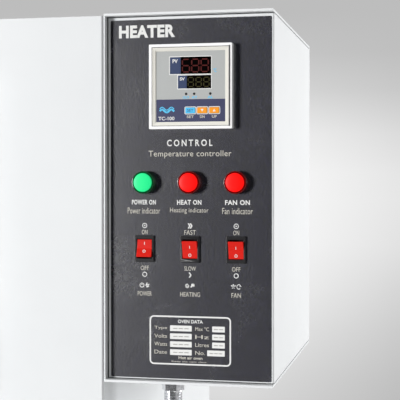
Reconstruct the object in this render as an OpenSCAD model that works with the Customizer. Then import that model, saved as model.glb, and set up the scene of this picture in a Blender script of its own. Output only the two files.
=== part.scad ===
// Bench-top forced-air drying oven with a control box hung on its right-hand side.
// Front faces -Y, the control box is on the +X side, +Z is up.
// The origin is on the ground, under the middle of the whole oven's bounding box.

/* [Casing] */
// Width of the oven casing, without the control box
body_w = 700; // [660:5:900]
// Depth of the oven casing
body_d = 605; // [600:5:780]
// Height of the casing above its feet
body_h = 780; // [740:5:1000]
// Radius of the two upright front edges
corner_r = 6; // [3:1:20]
// Thickness of the casing sheet
sheet = 1.5; // [1:0.1:2]
// Height of the feet
foot_h = 50; // [30:5:80]
// Radius of a foot at its top
foot_r = 22; // [16:1:30]
// Distance of each foot's axis from the casing's sides
foot_inset = 55; // [40:5:90]

/* [Chamber] */
// Clear width of the chamber
chamber_w = 460; // [380:5:480]
// Clear depth of the chamber, air duct included
chamber_d = 460; // [400:5:460]
// Clear height of the chamber
chamber_h = 600; // [500:5:620]
// Left wall of the casing to the chamber
chamber_left = 80; // [72:1:84]
// Underside of the casing to the chamber
chamber_rise = 80; // [72:1:90]
// Thickness of the chamber's stainless sheet
liner_t = 1; // [0.8:0.1:1.5]
// Width of the flange round the chamber's mouth
liner_flange = 18; // [12:1:24]
// Thickness of the mineral wool
wool_t = 55; // [40:1:60]
// Depth of the air duct behind the chamber
duct_d = 50; // [46:1:70]
// Height of the perforated floor over the heaters
floor_rise = 48; // [40:1:60]
// Number of shelf levels
shelf_levels = 8; // [5:1:10]
// Level of the upper shelf, counted from the lowest
upper_level = 5; // [4:1:5]
// Level of the lower shelf, counted from the lowest
lower_level = 2; // [0:1:3]

/* [Heating and air] */
// Number of hairpin heaters
heaters = 3; // [2:1:4]
// Radius of a heater tube
heater_r = 4; // [3:0.5:5]
// Radius of the fan wheel
fan_r = 62; // [45:1:75]
// Width of the fan wheel
fan_w = 28; // [20:1:32]
// Number of fan blades
fan_blades = 12; // [8:1:16]
// Radius of the fan shaft
shaft_r = 4; // [3:0.5:6]
// Radius of the fan motor
motor_r = 45; // [35:1:55]
// Length of the fan motor
motor_l = 64; // [50:1:70]
// Outer radius of the vent tube
vent_r = 27; // [22:1:35]
// Height of the vent tube above the casing
vent_h = 24; // [18:1:35]

/* [Door] */
// Overlap of the door round the chamber's mouth
door_overlap = 32; // [30:1:36]
// How far the door's face stands in front of the casing
door_proud = 32; // [26:1:42]
// How far the door's inner pan reaches into the chamber
plug_d = 20; // [14:1:28]
// Clearance between the inner pan and the chamber walls
plug_gap = 5; // [4:0.5:8]
// Thickness of the silicone gasket
gasket_t = 6; // [5:0.5:8]
// Width of the window
window_w = 230; // [160:5:270]
// Height of the window
window_h = 330; // [200:5:380]
// Thickness of each window pane
pane_t = 4; // [3:0.5:6]
// Reach of the handle in front of the door
handle_reach = 46; // [40:1:60]
// Length of the handle between its posts
handle_l = 180; // [120:5:260]
// Radius of the handle's bar
handle_r = 7; // [5:0.5:10]
// Height of one hinge
hinge_h = 70; // [50:2:90]
// Distance of each hinge from the middle of the door
hinge_off = 215; // [150:5:230]
// Radius of a hinge pin
pin_r = 3; // [2.5:0.5:4]

/* [Control box] */
// Width of the control box
box_w = 196; // [190:1:240]
// Height of the control box
box_h = 423.5; // [415:0.5:500]
// Depth of the control box, from its panel to its back
box_d = 350; // [280:5:420]
// Top of the box above the top of the casing
box_rise = 3; // [0:0.5:20]
// Front of the casing to the box's panel
panel_back = 13; // [12:1:40]
// How far the box's frame stands in front of its panel
lip = 9; // [4:0.5:14]
// Thickness of the hemmed top and bottom plates
hem_t = 3; // [2:0.5:4]
// Thickness of the cover sheet
cover_t = 1.2; // [1:0.1:2]
// Gap between the cover and the top and bottom plates
cover_gap = 1.1; // [0.5:0.1:2]
// Width of the printed label
label_w = 187.5; // [180:0.5:188]
// Height of the printed label
label_h = 411; // [400:1:411]
// Thickness of the printed label
label_t = 0.4; // [0.3:0.1:0.6]

/* [Controls] */
// Side of the controller's square bezel
bezel_w = 96; // [90:1:100]
// How far the bezel stands in front of the label
bezel_proud = 8.5; // [6:0.5:12]
// Height of the controller's middle above the box's underside
controller_z = 338.7; // [320:0.5:350]
// Distance of the controller's middle from the box's outer side
controller_x = 94.5; // [85:0.5:105]
// Depth of the controller behind the panel
controller_depth = 70; // [50:1:100]
// Travel of a controller key
key_travel = 0.8; // [0.4:0.1:1]
// Distance of the middle column of controls from the box's outer side
column_x = 96.5; // [88:0.5:104]
// Distance between two columns of controls
column_pitch = 53.4; // [46:0.1:58]
// Height of the lamps above the box's underside
lamp_z = 230; // [220:0.5:240]
// Radius of a lamp's lens
lamp_r = 12.5; // [8:0.5:13]
// How far a lens stands in front of the label
lamp_proud = 10.5; // [5:0.5:16]
// Height of the rocker switches above the box's underside
rocker_z = 154; // [140:0.5:165]
// Height of a rocker's frame
rocker_frame_h = 28.2; // [28:0.1:34]
// Width of a rocker's frame
rocker_frame_w = 20.8; // [20.5:0.1:24]
// Angle of a rocker to each side of its middle
rocker_tilt = 14; // [8:1:15]

/* [Clearances] */
// Clearance between fixed pieces that slip together
slip = 0.2; // [0.1:0.05:0.3]
// Clearance between pieces that move past each other
move_gap = 0.3; // [0.3:0.05:0.5]
// Radial clearance of a running shaft or pin
run_gap = 0.05; // [0.02:0.01:0.08]

/* [Hidden] */
$fn = 48;
eps = 0.5;

// Front reach of the handle and rear reach of the supply gland set the middle of the depth
gland_reach = 20;
front_reach = door_proud + handle_reach;
total_d = front_reach + body_d + gland_reach;
y_front = -total_d / 2 + front_reach;
y_back = y_front + body_d;
x_left = -(body_w + box_w) / 2;
x_right = x_left + body_w;
z_base = foot_h;
z_top = foot_h + body_h;

// Chamber
cx0 = x_left + chamber_left;
cx1 = cx0 + chamber_w;
cxm = (cx0 + cx1) / 2;
cy0 = y_front + sheet;
cy1 = cy0 + chamber_d;
cz0 = z_base + chamber_rise;
cz1 = cz0 + chamber_h;
czm = (cz0 + cz1) / 2;
duct_y = cy1 - duct_d;
wool_back = cy1 + liner_t + wool_t;
bracket_t = 2;
post_r = 5;
post_off = 50;
fan_z = czm + 40;

// Shelves
rail_w = 12;
rail_t = 1.2;
strip_t = 1.5;
level_z0 = cz0 + floor_rise + 30;
level_step = (cz1 - 45 - level_z0) / (shelf_levels - 1);
shelf_side = strip_t + 1;
shelf_y0 = cy0 + plug_d + 14;
shelf_y1 = duct_y - 8;

// Heaters
heater_z = cz0 + 20;
heater_pitch = 100;
heater_gap = 44;
heater_end = cx1 + liner_t + wool_t + 18;

// Door
door_x0 = cx0 - door_overlap;
door_x1 = cx1 + door_overlap;
door_z0 = cz0 - door_overlap;
door_z1 = cz1 + door_overlap;
door_y0 = y_front - door_proud;
gasket_y0 = y_front - move_gap - gasket_t;
door_back = gasket_y0 - liner_t;
gasket_w = 13;
gasket_in = 2;
window_edge = 14;
handle_x = door_x1 - 42;
knuckle_r = pin_r + 4;
hinge_x = door_x0 - knuckle_r - 3.5;
hinge_y = y_front - knuckle_r - 3;
leaf_t = 2.5;
leaf_w = 26;
screw_r = 2;
head_r = 4;
head_h = 2.2;

// Control box: x is measured inwards from its outer side, z up from its underside
bx1 = x_right + box_w;
by = y_front + panel_back;
bz0 = z_top + box_rise - box_h;
bz1 = bz0 + box_h;
by0 = by - lip;
by1 = by + box_d;
cover_z0 = bz0 + hem_t + cover_gap;
cover_z1 = bz1 - hem_t - cover_gap;
cover_x0 = x_right + sheet + 0.5;
label_x1 = bx1 - 2.8;
label_z0 = bz0 + 5.3;
control_x = bx1 - controller_x;
control_z = bz0 + controller_z;
face_w = 81;
face_h = 83;
face_back = 2.2;
bezel_y = by - label_t - bezel_proud;
face_y = bezel_y + face_back;
columns = [for (i = [-1:1]) bx1 - column_x + i * column_pitch];
lamp_zz = bz0 + lamp_z;
rocker_zz = bz0 + rocker_z;
rocker_w = 17.4;
rocker_half = 10.3;
rocker_window = 2 * rocker_half + 1.6;
rocker_pivot_y = by - label_t - 0.4;
trunnion_r = 1.3;
trunnion_l = 0.7;
switch_depth = 22;

// Keys on the controller's face
key_w = 11;
key_h = 6.4;
key_zz = bz0 + 311.5;
key_xs = [for (i = [0:2]) bx1 - 94.8 + i * 13.8];

// Conduit from the box's underside to the casing's side
conduit_r = 9.5;
conduit_bend = 42;
conduit_x = bx1 - 131;
conduit_y = by + 60;
gland_h = 19;
conduit_drop = 34;
conduit_z = bz0 - conduit_drop - conduit_bend;
gland_af = 24;
gland_bore = conduit_r + 0.1;
supply_x = x_right - 90;
supply_z = z_base + 70;
cable_bore = 5;

// Sheet and solid helpers ------------------------------------------------

// Centred rectangle with round corners
module rrect(w, h, r) {
    square([w - 2 * r, h], center = true);
    square([w, h - 2 * r], center = true);
    for (sx = [-1, 1], sz = [-1, 1])
        translate([sx * (w / 2 - r), sz * (h / 2 - r)]) circle(r);
}

// A flat outline in X and Z, made solid from y0 to y0 + t
module slab_y(y0, t) {
    translate([0, y0 + t, 0]) rotate([90, 0, 0]) linear_extrude(t) children();
}

// A flat outline in Y and Z, made solid from x0 to x0 + t
module slab_x(x0, t) {
    translate([x0, 0, 0]) rotate([90, 0, 90]) linear_extrude(t) children();
}

// A box from its lowest to its highest corner
module block(a, b) {
    translate(a) cube(b - a);
}

// A rod along Y from y0 to y1
module rod_y(x, z, y0, y1, r) {
    translate([x, y0, z]) rotate([-90, 0, 0]) cylinder(h = y1 - y0, r = r);
}

// A rod along X from x0 to x1
module rod_x(y, z, x0, x1, r) {
    translate([x0, y, z]) rotate([0, 90, 0]) cylinder(h = x1 - x0, r = r);
}

// Pan-head screw whose head stands on the plane y = y_face and faces -Y
module screw_front(x, z, y_face, l) {
    rod_y(x, z, y_face - head_h, y_face, head_r);
    rod_y(x, z, y_face - eps, y_face + l, screw_r);
}

// Pan-head screw whose head stands on the plane y = y_face and faces +Y
module screw_back(x, z, y_face, l) {
    rod_y(x, z, y_face, y_face + head_h, head_r);
    rod_y(x, z, y_face - l, y_face + eps, screw_r);
}

// Plan of the casing, with its front corners rounded
module casing_plan(inset, back) {
    r = corner_r - inset;
    x0 = x_left + inset;
    x1 = x_right - inset;
    translate([x0, y_front + corner_r]) square([x1 - x0, back - y_front - corner_r]);
    translate([x0 + r, y_front + inset]) square([x1 - x0 - 2 * r, corner_r]);
    for (x = [x0 + r, x1 - r]) translate([x, y_front + corner_r]) circle(r);
}

// Casing -----------------------------------------------------------------

rear_screws_x = [x_left + 8, (x_left + x_right) / 2, x_right - 8];
rear_screws_z = [z_base + 60, (z_base + z_top) / 2, z_top - 60];
rear_flange = 16;
box_bolts = [[by + 40, bz0 + 60], [by + 40, bz1 - 60], [by1 - 50, bz0 + 60], [by1 - 50, bz1 - 60]];

module outer_shell() color("white") {
    difference() {
        translate([0, 0, z_base]) linear_extrude(body_h) casing_plan(0, y_back);
        translate([0, 0, z_base - eps]) linear_extrude(body_h - sheet + eps)
            casing_plan(sheet, y_back + eps);
        block([cx0, y_front - eps, cz0], [cx1, y_front + sheet + eps, cz1]);
        translate([cxm, 0, z_top - sheet - eps]) cylinder(h = sheet + 2 * eps, r = vent_r + slip);
        rod_x(conduit_y, conduit_z, x_right - sheet - eps, x_right + eps, 10);
        for (b = box_bolts) rod_x(b[0], b[1], x_right - sheet - eps, x_right + eps, screw_r + slip);
        for (s = [-1, 1], h = [-1, 1])
            rod_y(hinge_x - leaf_w / 2 - 2, czm + s * hinge_off + h * hinge_h / 4,
                  y_front - eps, y_front + sheet + eps, screw_r + slip);
    }
    // inward flanges that carry the rear panel
    difference() {
        block([x_left + sheet, y_back - 2 * sheet, z_base], [x_right - sheet, y_back - sheet, z_top - sheet]);
        block([x_left + rear_flange, y_back - 3 * sheet, z_base - eps],
              [x_right - rear_flange, y_back, z_top - rear_flange]);
        for (x = [rear_screws_x[0], rear_screws_x[2]], z = rear_screws_z)
            rod_y(x, z, y_back - 3 * sheet, y_back, screw_r + slip);
    }
}

module rear_panel() color("gainsboro") slab_y(y_back - sheet, sheet) difference() {
    translate([x_left + sheet + slip, z_base + sheet + slip])
        square([body_w - 2 * (sheet + slip), body_h - 2 * (sheet + slip)]);
    for (x = [rear_screws_x[0], rear_screws_x[2]], z = rear_screws_z)
        translate([x, z]) circle(screw_r + slip);
    // cooling slots behind the fan motor and the wiring bay
    for (i = [0:9]) translate([cxm, fan_z - 63 + 14 * i]) rrect(150, 5, 2.4);
    for (i = [0:7]) translate([x_right - 75, z_top - 200 + 14 * i]) rrect(70, 5, 2.4);
    translate([supply_x, supply_z]) circle(8 + slip);
}

foot_spots = [for (x = [x_left + foot_inset, x_right - foot_inset],
                   y = [y_front + foot_inset, y_back - foot_inset]) [x, y]];

module base_pan() color("silver") difference() {
    translate([0, 0, z_base]) linear_extrude(sheet)
        casing_plan(sheet + slip, y_back - 2 * sheet - slip);
    for (p = foot_spots) translate([p[0], p[1], z_base - eps]) cylinder(h = 3 * sheet, r = 4 + slip);
}

module feet() color("black") for (p = foot_spots) translate([p[0], p[1], 0]) {
    cylinder(h = 4, r1 = foot_r - 6, r2 = foot_r - 4);
    translate([0, 0, 4]) cylinder(h = foot_h - 4, r1 = foot_r - 4, r2 = foot_r);
    translate([0, 0, foot_h]) cylinder(h = 10, r = 4);
}

module casing_screws() color("silver") {
    for (x = [rear_screws_x[0], rear_screws_x[2]], z = rear_screws_z) screw_back(x, z, y_back, 8);
    for (s = [-1, 1], h = [-1, 1])
        screw_front(hinge_x - leaf_w / 2 - 2, czm + s * hinge_off + h * hinge_h / 4,
                    y_front - leaf_t, leaf_t + sheet);
    // bolts that hang the control box, with their heads inside it
    for (b = box_bolts) {
        rod_x(b[0], b[1], x_right + sheet, x_right + sheet + head_h, head_r);
        rod_x(b[0], b[1], x_right - 8, x_right + sheet + eps, screw_r);
    }
    for (z = cover_screws_z) screw_back(bx1 - 8, z, by1, 7);
}

// Chamber ----------------------------------------------------------------

probe_y = duct_y + duct_d / 2;
probe_z = cz1 - 110;
heater_ys = [for (i = [0:heaters - 1], s = [-1, 1])
    (cy0 + duct_y) / 2 + (i - (heaters - 1) / 2) * heater_pitch + s * heater_gap / 2];

module chamber_liner() color("lightgray") difference() {
    union() {
        block([cx0 - liner_t, cy0, cz0 - liner_t], [cx1 + liner_t, cy1 + liner_t, cz1 + liner_t]);
        block([cx0 - liner_flange, cy0, cz0 - liner_flange], [cx1 + liner_flange, cy0 + liner_t, cz1 + liner_flange]);
    }
    block([cx0, cy0 - eps, cz0], [cx1, cy1, cz1]);
    for (y = heater_ys) rod_x(y, heater_z, cx1 - eps, cx1 + 2, heater_r + slip);
    rod_x(probe_y, probe_z, cx1 - eps, cx1 + 2, 3 + slip);
    translate([cxm, 0, cz1 - eps]) cylinder(h = 3, r = vent_r + slip);
    rod_y(cxm, fan_z, cy1 - eps, cy1 + 3, shaft_r + 3);
}

module insulation() color("khaki") difference() {
    block([cx0 - liner_t - wool_t, cy0 + liner_t + slip, cz0 - liner_t - wool_t],
          [cx1 + liner_t + wool_t, wool_back, cz1 + liner_t + wool_t]);
    block([cx0 - liner_t, cy0, cz0 - liner_t], [cx1 + liner_t, cy1 + liner_t, cz1 + liner_t]);
    for (y = heater_ys) rod_x(y, heater_z, cx1, cx1 + wool_t + 3, heater_r + slip);
    rod_x(probe_y, probe_z, cx1, cx1 + wool_t + 3, 3 + slip);
    translate([cxm, 0, cz1]) cylinder(h = wool_t + 3, r = vent_r + slip);
    rod_y(cxm, fan_z, cy1, wool_back + eps, shaft_r + 4);
    for (sx = [-1, 1], sz = [-1, 1])
        rod_y(cxm + sx * post_off, fan_z + sz * post_off, cy1, wool_back + eps, post_r + slip);
}

module floor_plate() color("silver") difference() {
    block([cx0 + slip, cy0 + plug_d + 8, cz0], [cx1 - slip, duct_y - slip, cz0 + floor_rise]);
    block([cx0 + 2, cy0, cz0 - eps], [cx1 - 2, cy1, cz0 + floor_rise - 1.2]);
    for (y = heater_ys) rod_x(y, heater_z, cx1 - 3, cx1 + 1, heater_r + 1);
    for (i = [0:7], j = [0:4])
        translate([cxm + (i - 3.5) * 50, (cy0 + duct_y) / 2 + 12 + (j - 2) * 60, cz0 + floor_rise - 3])
            linear_extrude(5) rrect(30, 6, 2.9);
}

module duct_panel() color("silver") slab_y(duct_y, 1.2) difference() {
    translate([cx0 + slip, cz0]) square([chamber_w - 2 * slip, chamber_h - slip]);
    // air inlet over the fan and outlets at both sides
    translate([cxm, fan_z]) for (k = [0:3], a = [0:5 * k])
        rotate(k == 0 ? 0 : a * 360 / (5 * k + 1)) translate([14 * k, 0]) circle(5);
    for (s = [-1, 1], i = [0:11])
        translate([cxm + s * (chamber_w / 2 - 35), cz0 + floor_rise + 30 + i * 40]) rrect(36, 8, 3.9);
}

function level_z(n) = level_z0 + n * level_step;

module shelf_supports() color("silver") for (s = [-1, 1]) {
    wall = s < 0 ? cx0 : cx1;
    for (y = [shelf_y0 + 30, shelf_y1 - 44])
        block([min(wall, wall - s * strip_t), y, cz0 + floor_rise + 2],
              [max(wall, wall - s * strip_t), y + 14, cz1 - 6]);
    for (n = [0:shelf_levels - 1])
        block([min(wall - s * strip_t, wall - s * (strip_t + rail_w)), shelf_y0 + 10, level_z(n) - rail_t],
              [max(wall - s * strip_t, wall - s * (strip_t + rail_w)), shelf_y1 - 10, level_z(n)]);
}

// Perforated shelf with a turned-up rim at its back
module shelf(n) {
    z = level_z(n);
    x0 = cx0 + shelf_side;
    x1 = cx1 - shelf_side;
    translate([0, 0, z]) linear_extrude(1.5) difference() {
        translate([x0, shelf_y0]) square([x1 - x0, shelf_y1 - shelf_y0]);
        for (i = [0:6], j = [0:13])
            translate([cxm + (i - 3) * 60, (shelf_y0 + shelf_y1) / 2 + (j - 6.5) * 24]) rrect(46, 10, 4.9);
    }
    block([x0, shelf_y1 - 1.5, z], [x1, shelf_y1, z + 12]);
    block([x0, shelf_y0, z - 8], [x0 + 20, shelf_y0 + 1.5, z]);
    block([x0 + 20, shelf_y0, z - 8], [x1 - 20, shelf_y0 + 1.5, z]);
    block([x1 - 20, shelf_y0, z - 8], [x1, shelf_y0 + 1.5, z]);
}

module upper_shelf() color("gainsboro") shelf(upper_level);

module lower_shelf() color("gainsboro") shelf(lower_level);

module heating_elements() color("dimgray") for (i = [0:heaters - 1]) {
    ym = (cy0 + duct_y) / 2 + (i - (heaters - 1) / 2) * heater_pitch;
    bend = heater_gap / 2;
    xb = cx0 + 20 + bend;
    for (s = [-1, 1]) rod_x(ym + s * bend, heater_z, xb, heater_end, heater_r);
    translate([xb, ym, heater_z]) rotate([0, 0, 90]) rotate_extrude(angle = 180)
        translate([bend, 0]) circle(heater_r);
    // threaded ends for the leads
    for (s = [-1, 1]) rod_x(ym + s * bend, heater_z, heater_end - eps, heater_end + 12, 2);
}

module temperature_probe() color("silver") {
    rod_x(probe_y, probe_z, cx1 - 70, cx1 + liner_t + wool_t + 6, 3);
    rod_x(probe_y, probe_z, cx1 + liner_t + wool_t, cx1 + liner_t + wool_t + 18, 7);
}

// Vent and fan -----------------------------------------------------------

vent_top = z_top + vent_h;
vent_holes = [for (a = [0:2]) a * 120];
vent_wall = 1.5;
vent_disc = 2;
skirt_r = vent_r + move_gap + 2;

module vent_tube() color("silver") translate([cxm, 0, 0]) difference() {
    union() {
        translate([0, 0, cz1]) cylinder(h = vent_top - cz1, r = vent_r);
        translate([0, 0, z_top]) cylinder(h = 2, r = vent_r + 12);
    }
    translate([0, 0, cz1 - eps]) cylinder(h = vent_top - cz1 - vent_disc + eps, r = vent_r - vent_wall);
    translate([0, 0, vent_top - 4]) cylinder(h = 8, r = pin_r + run_gap);
    for (a = vent_holes) rotate(a) translate([15, 0, vent_top - 4]) cylinder(h = 8, r = 7);
}

module vent_cap() color("dimgray") translate([cxm, 0, 0]) {
    difference() {
        translate([0, 0, vent_top - 8]) cylinder(h = 8 + move_gap + 2.5, r = skirt_r);
        translate([0, 0, vent_top - 9]) cylinder(h = 9 + move_gap, r = vent_r + move_gap);
        for (a = vent_holes) rotate(a) translate([15, 0, vent_top]) cylinder(h = 8, r = 7);
    }
    translate([0, 0, vent_top - 10]) cylinder(h = 10 + move_gap + eps, r = pin_r);
    translate([0, 0, vent_top + move_gap + 2.5]) cylinder(h = 12, r = 7);
    translate([0, 0, vent_top + move_gap + 14.5]) cylinder(h = 8, r = 12);
}

fan_y0 = duct_y + 8;
motor_y = wool_back + bracket_t;
shaft_in = 30;

fan_disc = 1.5;
fan_y1 = fan_y0 + fan_w;
hub_l = 14;

module fan_impeller() color("silver") translate([cxm, 0, fan_z]) {
    difference() {
        union() {
            rod_y(0, 0, fan_y1 - fan_disc, fan_y1, fan_r);
            rod_y(0, 0, fan_y1 - hub_l, fan_y1, shaft_r + 5);
        }
        rod_y(0, 0, fan_y0, fan_y1 + eps, shaft_r + 0.02);
    }
    difference() {
        rod_y(0, 0, fan_y0, fan_y0 + fan_disc, fan_r);
        rod_y(0, 0, fan_y0 - eps, fan_y0 + 2 * fan_disc, fan_r - 20);
    }
    for (i = [0:fan_blades - 1]) rotate([0, i * 360 / fan_blades, 0])
        block([fan_r - 18, fan_y0 + fan_disc / 2, -0.75], [fan_r - 1, fan_y1 - fan_disc / 2, 0.75]);
}

module fan_shaft() color("gray") rod_y(cxm, fan_z, fan_y1 - hub_l, motor_y + shaft_in - 2, shaft_r);

module motor_bracket() color("silver") {
    slab_y(wool_back, bracket_t) difference() {
        translate([cxm, fan_z]) rrect(2 * post_off + 30, 2 * post_off + 30, 8);
        translate([cxm, fan_z]) circle(shaft_r + 4);
    }
    for (sx = [-1, 1], sz = [-1, 1])
        rod_y(cxm + sx * post_off, fan_z + sz * post_off, cy1 + liner_t, wool_back + eps, post_r);
}

module fan_motor() color("slategray") difference() {
    union() {
        rod_y(cxm, fan_z, motor_y, motor_y + motor_l, motor_r);
        for (i = [0:3]) rod_y(cxm, fan_z, motor_y + 12 + i * 11, motor_y + 16 + i * 11, motor_r + 3);
    }
    rod_y(cxm, fan_z, motor_y - eps, motor_y + shaft_in, shaft_r + run_gap);
}

// Door -------------------------------------------------------------------

module door_outline(inset) {
    translate([door_x0 + inset, door_z0 + inset])
        square([door_x1 - door_x0 - 2 * inset, door_z1 - door_z0 - 2 * inset]);
}

module window_hole(grow) {
    translate([cxm, czm]) rrect(window_w + 2 * grow, window_h + 2 * grow, 10 + grow);
}

handle_zs = [czm - handle_l / 2, czm + handle_l / 2];
door_screw_zs = [for (s = [-1, 1], h = [-1, 1]) czm + s * hinge_off + h * hinge_h / 4];
door_screw_y = door_y0 + 10;

module door_outer_shell() color("white") difference() {
    slab_y(door_y0, door_back - door_y0) door_outline(0);
    slab_y(door_y0 + sheet, door_back - door_y0) door_outline(sheet);
    slab_y(door_y0 - eps, 3 * sheet) window_hole(0);
    for (z = handle_zs) rod_y(handle_x, z, door_y0 - eps, door_y0 + 3 * sheet, screw_r + slip);
    for (z = door_screw_zs) rod_x(door_screw_y, z, door_x0 - eps, door_x0 + 2 * sheet, screw_r + slip);
}

plug_x0 = cx0 + plug_gap;
plug_x1 = cx1 - plug_gap;
plug_z0 = cz0 + plug_gap;
plug_z1 = cz1 - plug_gap;
plug_back = y_front + plug_d;

module door_inner_pan() color("lightgray") difference() {
    union() {
        slab_y(door_back, liner_t) door_outline(0.5);
        block([plug_x0, door_back, plug_z0], [plug_x1, plug_back, plug_z1]);
    }
    block([plug_x0 + liner_t, door_back - eps, plug_z0 + liner_t],
          [plug_x1 - liner_t, plug_back - liner_t, plug_z1 - liner_t]);
    slab_y(plug_back - 3, 5) window_hole(0);
}

module door_insulation() color("khaki") difference() {
    union() {
        slab_y(door_y0 + sheet + 4, door_back - door_y0 - sheet - 4 - slip) door_outline(sheet + 4);
        block([plug_x0 + liner_t + slip, door_back - eps, plug_z0 + liner_t + slip],
              [plug_x1 - liner_t - slip, plug_back - liner_t - slip, plug_z1 - liner_t - slip]);
    }
    slab_y(door_y0, plug_back - door_y0) window_hole(slip);
}

module door_gasket() color("firebrick") slab_y(gasket_y0, gasket_t) difference() {
    translate([cxm, czm])
        rrect(chamber_w + 2 * (gasket_in + gasket_w), chamber_h + 2 * (gasket_in + gasket_w), 12);
    translate([cxm, czm]) rrect(chamber_w + 2 * gasket_in, chamber_h + 2 * gasket_in, 4);
}

module window_frame() color("silver") difference() {
    union() {
        slab_y(door_y0 - 2.5, 2.5) window_hole(window_edge);
        slab_y(door_y0 - eps, plug_back - door_y0 + eps) window_hole(-slip);
        slab_y(plug_back, 2) window_hole(window_edge);
    }
    slab_y(door_y0 - 5, plug_back - door_y0 + 10) window_hole(-slip - 2);
}

module window_panes() color([0.7, 0.85, 0.9, 0.4]) {
    for (y = [door_y0 + 3, plug_back - pane_t - 3]) slab_y(y, pane_t) window_hole(-2 * slip - 2);
}

module door_handle() color("dimgray") {
    y_bar = door_y0 - handle_reach + handle_r;
    bend = 14;
    translate([handle_x, y_bar, handle_zs[0] + bend]) cylinder(h = handle_l - 2 * bend, r = handle_r);
    for (s = [0, 1]) {
        z = handle_zs[s];
        inward = s == 0 ? 1 : -1;
        rod_y(handle_x, z, y_bar + bend, door_y0, handle_r);
        // quarter bend between the post and the bar
        translate([handle_x, y_bar + bend, z + inward * bend]) rotate([0, 90, 0])
            rotate(inward > 0 ? -90 : 180) rotate_extrude(angle = 90)
                translate([bend, 0]) circle(handle_r);
        rod_y(handle_x, z, door_y0 - 4, door_y0, handle_r + 4);
    }
}

// One knuckle of a hinge between two heights
module knuckle(z0, z1) {
    translate([hinge_x, hinge_y, z0]) cylinder(h = z1 - z0, r = knuckle_r);
}

module hinge_bore(z0, z1, gap) {
    translate([hinge_x, hinge_y, z0 - eps]) cylinder(h = z1 - z0 + 2 * eps, r = pin_r + gap);
}

module body_hinge_leaves() color("silver") for (s = [-1, 1]) {
    z0 = czm + s * hinge_off - hinge_h / 2;
    zm = z0 + hinge_h / 2;
    difference() {
        union() {
            block([hinge_x - leaf_w - 4, y_front - leaf_t, z0], [hinge_x - 4, y_front, z0 + hinge_h]);
            block([hinge_x - 6, hinge_y, z0], [hinge_x - 2, y_front, zm]);
            knuckle(z0, zm);
        }
        hinge_bore(z0, zm, run_gap);
        for (h = [-1, 1]) rod_y(hinge_x - leaf_w / 2 - 2, zm + h * hinge_h / 4, y_front - 5, y_front + 1, screw_r + slip);
    }
}

module door_hinge_leaves() color("silver") for (s = [-1, 1]) {
    z0 = czm + s * hinge_off - hinge_h / 2;
    zm = z0 + hinge_h / 2 + move_gap;
    difference() {
        union() {
            block([door_x0 - leaf_t, door_y0 + 3, z0], [door_x0, door_back - 1, z0 + hinge_h]);
            block([hinge_x + 2, hinge_y - 3, zm], [door_x0 - 1, hinge_y + 3, z0 + hinge_h]);
            knuckle(zm, z0 + hinge_h);
        }
        hinge_bore(zm, z0 + hinge_h, run_gap);
        for (h = [-1, 1]) rod_x(door_screw_y, z0 + hinge_h / 2 + h * hinge_h / 4, door_x0 - 5, door_x0 + 1, screw_r + slip);
    }
}

module hinge_pins() color("gray") for (s = [-1, 1]) {
    z0 = czm + s * hinge_off - hinge_h / 2;
    translate([hinge_x, hinge_y, z0 - 2]) cylinder(h = hinge_h + 4, r = pin_r);
    translate([hinge_x, hinge_y, z0 - 4]) cylinder(h = 4 - slip, r = pin_r + 2);
}

module door_screws() color("silver") {
    for (z = door_screw_zs) {
        rod_x(door_screw_y, z, door_x0 - leaf_t - 1.2, door_x0 - leaf_t, 3);
        rod_x(door_screw_y, z, door_x0 - leaf_t - 0.5, door_x0 + 5, screw_r);
    }
    // handle screws, driven from inside the door
    for (z = handle_zs) {
        rod_y(handle_x, z, door_y0, door_y0 + sheet + 1, screw_r);
        rod_y(handle_x, z, door_y0 + sheet, door_y0 + sheet + 2.5, head_r);
    }
}

module catch_magnet() color("dimgray")
    block([cx1 + 19, y_front - gasket_t, czm - 30], [cx1 + 29, y_front, czm + 30]);

// Control box ------------------------------------------------------------

cover_screws_z = [bz0 + 40, (bz0 + bz1) / 2, bz1 - 40];
back_flange = 16;

module box_shell() color("white") difference() {
    union() {
        block([x_right, by0, bz0], [x_right + sheet, by1 - cover_t - slip, bz1]);
        for (z = [bz0, bz1 - hem_t]) block([x_right, by0, z], [bx1, by1, z + hem_t]);
        // back plate, with a step where the cover's flange lies on it
        block([x_right, by1 - cover_t - slip - sheet, bz0], [bx1 - cover_t - slip, by1 - cover_t - slip, bz1]);
    }
    for (z = cover_screws_z) rod_y(bx1 - 8, z, by1 - 8, by1 + 1, screw_r + slip);
    for (b = box_bolts) rod_x(b[0], b[1], x_right - eps, x_right + sheet + eps, screw_r + slip);
    translate([conduit_x, conduit_y, bz0 - eps]) cylinder(h = hem_t + 2 * eps, r = 10);
}

module cover_cutouts() {
    translate([control_x, control_z]) rrect(bezel_w - 4, bezel_w - 4, 2);
    for (x = columns) {
        translate([x, lamp_zz]) circle(8 + slip);
        translate([x, rocker_zz]) square([rocker_frame_w - 1.5, rocker_frame_h - 1.5], center = true);
    }
}

module box_cover() color("white") {
    fold = 2;
    difference() {
        slab_y(by, cover_t) translate([cover_x0, cover_z0]) square([bx1 - fold - cover_x0, cover_z1 - cover_z0]);
        slab_y(by - eps, cover_t + 2 * eps) cover_cutouts();
    }
    translate([0, 0, cover_z0]) linear_extrude(cover_z1 - cover_z0) {
        translate([bx1 - fold, by + fold]) intersection() {
            difference() {
                circle(fold);
                circle(fold - cover_t);
            }
            translate([0, -fold]) square(fold);
        }
        translate([bx1 - cover_t, by + fold]) square([cover_t, box_d - fold]);
        difference() {
            translate([bx1 - back_flange, by1 - cover_t]) square([back_flange, cover_t]);
            translate([bx1 - 8 - screw_r - slip, by1 - 2 * cover_t]) square([2 * (screw_r + slip), 3 * cover_t]);
        }
    }
}

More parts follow.
